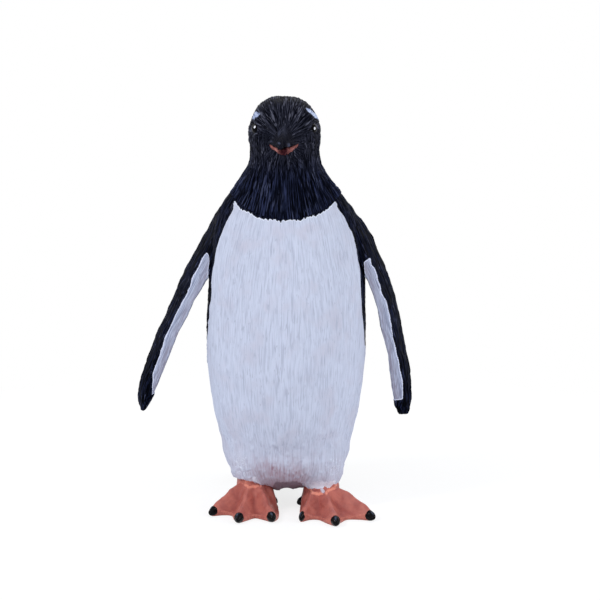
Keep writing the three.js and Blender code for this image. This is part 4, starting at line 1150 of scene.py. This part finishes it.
# Feet: webbed, with ridges to the claws
print("feet")
foot = {
    # each toe's reach and splay, from the inside out; then torn lips of paint and clay, painted lighter as
    # painted highlights, painted shadows under the hem, and smears of paint and clay round the ankle, as
    # places across and up
    "left": {"flank": 3.8, "toes": [(11.8, -18.5), (14.6, 11), (14.1, 43)], "instep": 4.8, "innerToe": 0.65,
             "claws": (0.72, 1.1, 1.1, 1), "flankHollow": 0.82, "flankRise": 1.8, "ankleOut": 3.65,
             "lips": [((4.3, 4.55), (5.5, 4.1), (6.45, 3.75), (7.2, 4.0)),
                      ((7.9, 4.25), (9.0, 4.45), (10.0, 4.95))],
             "shadowsUnderHem": [((5.7, 4.4), (0.9, 0.16))], "smears": [((7.25, 4.4), (0.66, 0.56))]},
    "right": {"flank": 4.2, "toes": [(12.6, -17), (13, 12), (10.9, 46)], "instep": 5.45, "innerToe": 1.35,
              "claws": (1.1, 1.12, 0.9, 1), "flankHollow": 1.1, "flankRise": 0, "ankleOut": 3.3,
              "lips": [((-8.1, 5.15), (-7.2, 4.98), (-6.1, 4.95), (-5.5, 5.15)),
                       ((-8.0, 5.9), (-7.0, 5.75), (-6.2, 5.6)), ((-5.15, 5.5), (-4.95, 5.15))],
              "shadowsUnderHem": [((-4.6, 5.2), (0.7, 0.12))], "smears": []},
    "ankleWide": 3.3, "ankleDeep": 3.5, "heelBack": 7.6, "toeHalf": 1.25, "toeHeight": 1.7, "webHeight": 0.85,
    "toeTip": 0.675, "webRecess": 2.2, "inset": 0.3, "top": 7.2, "hollow": 1.55, "lipWidth": 0.21,
    "columns": 336, "rows": 58,
    "creases": {"count": 900, "length": (0.5, 1.6), "width": (0.1, 0.22), "depth": (0.01, 0.045), "sway": 14,
                "raised": 0.4, "bend": 0.1},
    "skin": (170, 92, 84), "skinDark": (148, 72, 66), "skinLight": (190, 110, 98), "lip": (232, 148, 128),
    "smear": (206, 200, 214), "rough": (0.42, 0.6), "shine": 0.3,
}
claw = {"wide": 0.82, "long": 1.3, "high": 1.04, "middle": 0.94, "rows": 26, "sides": 32,
        "colour": (10, 8, 12), "light": (70, 78, 96), "rough": (0.14, 0.26), "shine": 0.08}
hallux = {"out": 3.6, "forward": 0.8, "height": 1.4, "splay": -60, "radius": 1.15, "rows": 24, "sides": 40}


def footPaint(name, plan):
    material = newPaint(name)
    fine, mottled = speckle(0.35), speckle(2.4)
    skin = layered(
        plan["skin"], (ranged(mottled, 0.35, 0.65), plan["skinLight"]),
        (ranged(field("shade"), 0.0, 1.0), plan["skinDark"]),
        (ranged(plus(field("edge"), ranged(fine, 0.3, 0.7, -0.14, 0.14)), 0.15, 0.85), plan["lip"]),
        (ranged(plus(field("white"), ranged(fine, 0.3, 0.7, -0.15, 0.15)), -0.06, 0.06), plan["smear"]))
    coated(skin, ranged(mottled, 0.3, 0.7, *plan["rough"]), plan["shine"], fine, 0.015)
    return material


def clawPaint(name, plan):
    material = newPaint(name)
    fine = speckle(0.4)
    # the painted glint on the claw
    paintedLight = plus(field("paintedLight"), ranged(fine, 0.3, 0.7, -0.3, 0.3))
    coated(blended(ranged(paintedLight, 0.3, 0.9), plan["colour"], plan["light"]),
           ranged(fine, 0.3, 0.7, *plan["rough"]), plan["shine"], fine, 0.012)
    return material


webbing, nailGloss = footPaint("foot paint", foot), clawPaint("claw gloss", claw)


# How far each point is from a line across and up
def offLine(x, z, line):
    best = np.full(x.shape, 99.0)
    for (x0, z0), (x1, z1) in zip(line, line[1:]):
        dx, dz = x1 - x0, z1 - z0
        share = np.clip(((x - x0) * dx + (z - z0) * dz) / (dx ** 2 + dz ** 2), 0, 1)
        best = np.minimum(best, np.hypot(x - x0 - share * dx, z - z0 - share * dz))
    return best


def toeWay(side, splay):
    a = math.radians(splay)
    return np.array([side * math.sin(a), -math.cos(a)])


def footOutline(name, side, middle):
    toes, wide, heel = foot[name]["toes"], foot["ankleWide"], foot["heelBack"]
    outline = [middle + [0, heel], middle + [side * wide * 0.85, heel * 0.55],
               middle + [side * (wide + foot["toeHalf"] / 2), 0]]
    for k in (2, 1, 0):
        reach, splay = toes[k]
        way = toeWay(side, splay)
        aside = side * foot["toeHalf"] * np.array([-way[1], way[0]])
        knuckle = middle + way * (reach - 2 * foot["toeTip"])
        outline += [knuckle + aside, middle + way * (reach + foot["toeTip"]),
                    knuckle - aside * (foot[name]["innerToe"] if k == 0 else 1)]
        if k > 0:
            web = (reach + toes[k - 1][0]) / 2 - foot["webRecess"] - foot["toeTip"]
            outline.append(middle + toeWay(side, (splay + toes[k - 1][1]) / 2) * web)
    outline += [middle - [side * foot[name]["flank"], 0], middle + [-side * wide * 0.85, heel * 0.55]]
    return smoothCurve(outline, True, foot["columns"] + 1)[:-1]


# How far each place is from the nearest toe's line, and which share of that toe it lies beside
def alongToes(name, side, dx, dy):
    best, share = np.full(dx.shape, 99.0), np.zeros(dx.shape)
    for reach, splay in foot[name]["toes"]:
        way = toeWay(side, splay)
        ahead = np.clip(dx * way[0] + dy * way[1], 0, reach)
        off = np.hypot(dx - way[0] * ahead, dy - way[1] * ahead)
        share = np.where(off < best, ahead / reach, share)
        best = np.minimum(best, off)
    return best, share


def makeFoot(name, side):
    plan, half = foot[name], foot["toeHalf"]
    middle = np.array([side * legs["out"][side], -legs["forward"][side]])
    d = footOutline(name, side, middle) - middle
    dx, dy = d.T
    t = shares(foot["rows"]) ** 1.1
    outness = side * dx / np.hypot(dx, dy)
    outer, inner = smooth(outness, 0.25, 0.8), smooth(-outness, 0.6, 0.95)
    ankleWide = np.where(side * dx > 0, plan["ankleOut"], foot["ankleWide"])
    ankle = 1 / np.hypot(dx / ankleWide, dy / foot["ankleDeep"])
    grow = between(ankle, 1, 1 - (1 - t) ** (1 + 2.4 * inner))
    offEdge, _ = alongToes(name, side, dx, dy)
    off, share = alongToes(name, side, dx * grow, dy * grow)
    toeRise = foot["toeHeight"] - foot["webHeight"]
    rim = foot["webHeight"] + toeRise * np.exp(-(offEdge / half) ** 2)
    ridge = np.exp(-(off / (half * (0.75 + 0.25 * share))) ** 2)
    slope = (plan["instep"] - rim) * (1 - t) ** between(foot["hollow"], plan["flankHollow"], outer)
    neck = (foot["top"] - plan["instep"]) * np.clip(1 - t / 0.05, 0, 1) ** 1.5
    relief = toeRise * (ridge - 0.42) * (4.6 + plan["flankRise"] * outer) * t * (1 - t)
    relief = relief * (1 - outer * fading(t, 0.1, 0.4) * (ridge < 0.42))
    knuckles = 0.16 * ridge * np.sin(share * 15) * smooth(share, 0.35, 0.6) * fading(share, 0.85, 1)
    height = rim + slope + neck + relief + knuckles
    top = np.stack([middle[0] + dx * grow, middle[1] + dy * grow, height], axis=-1)

    def ring(growth, height):
        return np.column_stack([middle + d * growth, height + 0 * rim])

    tucked = 1 - foot["inset"] / np.maximum(np.linalg.norm(d, axis=1, keepdims=True), 1)
    under = [ring(1.012, rim * 0.72), ring(1.016, rim * 0.4), ring(1.004, rim * 0.12), ring(tucked, 0)]
    points = np.concatenate([top, np.array(under)])
    x, y, z = axes(points)
    onTop = np.append(np.ones(foot["rows"]), [0.6, 0.3, 0, 0])[:, None]
    form = makeForm(points)
    carve(form, onTop, lambda p: (p - [*middle, 0]) * [1, 1, 0], foot["creases"], 91 + side)
    form["relief"] = (form["relief"] + 0.05 * waves(points, 2.2, 93) * onTop) * onTop
    offAll = np.concatenate([off, np.tile(offEdge, (4, 1))])
    far = np.append(t, np.ones(4))[:, None]
    # painted shade in the webs between the toe ridges, less towards the edge
    shade = 0.6 * smooth(offAll, 0.9, 2.2) * smooth(far, 0.15, 0.5) * (1 - 0.5 * smooth(far, 0.8, 1.0))
    # torn edges of paint and clay under the hem, on the front of the ankle, painted lighter as painted
    # highlights
    ahead = y < middle[1] - 1
    tornX = x + 0.06 * waves(points, 0.8, 94)
    offLips = np.min([offLine(tornX, z, line) for line in plan["lips"]], axis=0)
    # painted highlights along the web's front edge and on the torn lips
    bright = np.maximum(0.3 * np.exp(-((far - 1) / 0.015) ** 2),
                        1.05 * ahead * np.exp(-(offLips / foot["lipWidth"]) ** 2))
    white = np.full(x.shape, -1.0)
    # painted shadows under the hem
    for (x0, z0), (wide, high) in plan["shadowsUnderHem"]:
        shade = np.maximum(shade, 1.5 * ahead * np.exp(-((x - x0) / wide) ** 2 - ((z - z0) / high) ** 2))
    for (x0, z0), (wide, high) in plan["smears"]:
        away = np.hypot((x - x0) / wide, (z - z0) / high)
        white = np.where(ahead, np.maximum(white, (0.5 - away) * 0.6), white)
    sole = ((0, 2), (0, 0))  # the two flat rings of the sole have no field of their own
    made = tubePiece(
        name + "_webbed_foot", np.concatenate([pushed(form), [ring(0.9, 0), ring(0.5, 0)]]),
        {"shade": np.pad(shade, sole), "edge": np.pad(bright, sole),
         "white": np.pad(white, sole, constant_values=-1)},
        tips=[(*middle, foot["top"]), (*middle, 0)], flatRings=2)
    finished(made, webbing, name + "_foot")
    hind = middle - [side * hallux["out"], hallux["forward"]]
    nails = [(middle + toeWay(side, splay) * reach, splay, claw["middle"]) for reach, splay in plan["toes"]]
    nails.append((hind, hallux["splay"], hallux["height"]))
    for k, (at, splay, height) in enumerate(nails):
        makeClaw(f"{name}_claw_{k + 1}", at, toeWay(side, splay), height, plan["claws"][k], 95 + k)
    makeHindToe(name + "_hind_toe", middle, hind, side)


def makeClaw(name, at, way, height, scale, seed):
    polar, a = np.linspace(0.05, math.pi - 0.05, claw["rows"])[:, None], angles(claw["sides"])
    ahead = np.cos(polar)
    taper = 1 - 0.22 * ahead - 0.1 * ahead ** 2
    run = ahead * claw["long"] * math.sqrt(min(scale, 1))
    out = np.sin(polar) * np.cos(a) * claw["wide"] * taper * scale
    up = np.sin(polar) * np.sin(a) * claw["high"] * taper - 0.16 * np.clip(ahead, 0, 1) ** 2
    flat = at + along((run, way), (out, np.array([-way[1], way[0]])))
    points = np.concatenate([flat, np.maximum(height + up, 0.03)[..., None]], axis=-1)
    form = makeForm(points)
    form["relief"] += 0.03 * waves(points, 0.9, seed)
    points = pushed(form)
    points[..., 2] = np.maximum(points[..., 2], 0.02)
    # a painted glint on the top of each claw
    glint = np.exp(-((a - 1.8) / 0.3) ** 2) * np.exp(-((polar - 1.1) / 0.5) ** 2)
    finished(tubePiece(name, points, {"paintedLight": glint}), nailGloss)


def makeHindToe(name, middle, hind, side):
    t, a = shares(hallux["rows"]), angles(hallux["sides"])
    start = np.array([middle[0] - side * 1.2, hind[1] + 0.3, hallux["height"] + 0.5])
    end = np.array([hind[0] + side * 0.1, hind[1], hallux["height"]])
    radius = hallux["radius"] * np.sqrt(np.maximum(1 - (t * 0.97) ** 6, 0.02))
    points = between(start, end, t[..., None]) + along(
        (radius * np.cos(a), [0.0, 1.0, 0.0]), (radius * np.sin(a), [0.0, 0.0, 1.0]))
    points[..., 2] = np.maximum(points[..., 2], 0.03)
    form = makeForm(points)
    form["relief"] += 0.04 * waves(points, 1.2, 99)
    finished(tubePiece(name, pushed(form), {"shade": 0.3, "edge": 0, "white": -1}), webbing)


for name, side in sides.items():
    makeFoot(name, side)

# Studio
print("studio")
studio = {
    "distance": 400, "elevation": 9, "lens": 120, "sensor": 36, "aim": (5.23, -0.26, 40.9),
    "floorReach": 1.2, "floorShade": (238, 239, 242), "whiteFrom": 40, "whiteTo": 130, "paperGlow": 0.7,
    "paperStrength": 1.12, "skyLight": 0.57, "skyColour": (0.96, 0.98, 1.0, 1),
    "lamps": [  # place in mm from the aim, size, watts
        ((-340, -230, 300), 110, 0.88),
        ((370, -170, 160), 240, 0.54),
        ((60, 330, 330), 260, 0.5),
        ((0, -430, -20), 70, 0.1),
    ],
}
aim = Vector(studio["aim"]) * mm


def aimed(thing, place):
    thing.location = aim + Vector(place) * mm
    thing.rotation_euler = (aim - thing.location).to_track_quat("-Z", "Y").to_euler()


raised = math.radians(studio["elevation"])
camera = linked("camera", bpy.data.cameras.new("camera"))
camera.data.lens = studio["lens"]
camera.data.sensor_width = studio["sensor"]
camera.data.clip_start = 0.01
aimed(camera, Vector((0, -math.cos(raised), math.sin(raised))) * studio["distance"])
bpy.context.scene.camera = camera

for number, (place, size, power) in enumerate(studio["lamps"]):
    light = bpy.data.lights.new(f"lamp_{number + 1}", "AREA")
    light.size = size * mm
    light.energy = power
    aimed(linked(light.name, light), place)


def seenRay():
    rays = node("LightPath").outputs
    seen = worked("MAXIMUM", rays["Is Camera Ray"], rays["Is Glossy Ray"])
    return worked("MAXIMUM", seen, rays["Is Transmission Ray"])


def mixedInto(outKind, share, first, second):
    mix = node("MixShader")
    feedAll(mix, {0: share, 1: first.outputs[0], 2: second.outputs[0]})
    feed(node(outKind).inputs[0], mix.outputs[0])


# The sky is soft on the bird and plain white to the camera
world = bpy.data.worlds.new("studio air")
bpy.context.scene.world = world
clearBench(world)
soft, plain = node("Background"), node("Background")
soft.inputs["Color"].default_value = studio["skyColour"]
feed(soft.inputs["Strength"], studio["skyLight"])
feed(plain.inputs["Color"], (255, 255, 255))
mixedInto("OutputWorld", seenRay(), soft, plain)


# From the bird outward the paper goes over to plain white
def outwardFrom(first):
    length = node("VectorMath", operation="LENGTH")
    feed(length.inputs[0], node("TexCoord").outputs["Object"])
    return ranged(length.outputs["Value"], studio["whiteFrom"] * mm, studio["whiteTo"] * mm, first, 1.0)


reach = studio["floorReach"]
sheet = bpy.data.meshes.new("floor")
sheet.from_pydata([(-reach, -reach, 0), (reach, -reach, 0), (reach, reach, 0), (-reach, reach, 0)], [],
                  [(0, 1, 2, 3)])
sheet.materials.append(newPaint("floor paper"))
dull, bright = node("BsdfDiffuse"), node("Emission")
feed(dull.inputs["Color"], studio["floorShade"])
feed(bright.inputs["Strength"], outwardFrom(studio["paperStrength"]))
mixedInto("OutputMaterial", times(seenRay(), outwardFrom(studio["paperGlow"])), dull, bright)
linked("floor", sheet)
bpy.context.scene.view_settings.view_transform = "Standard"

print("done")
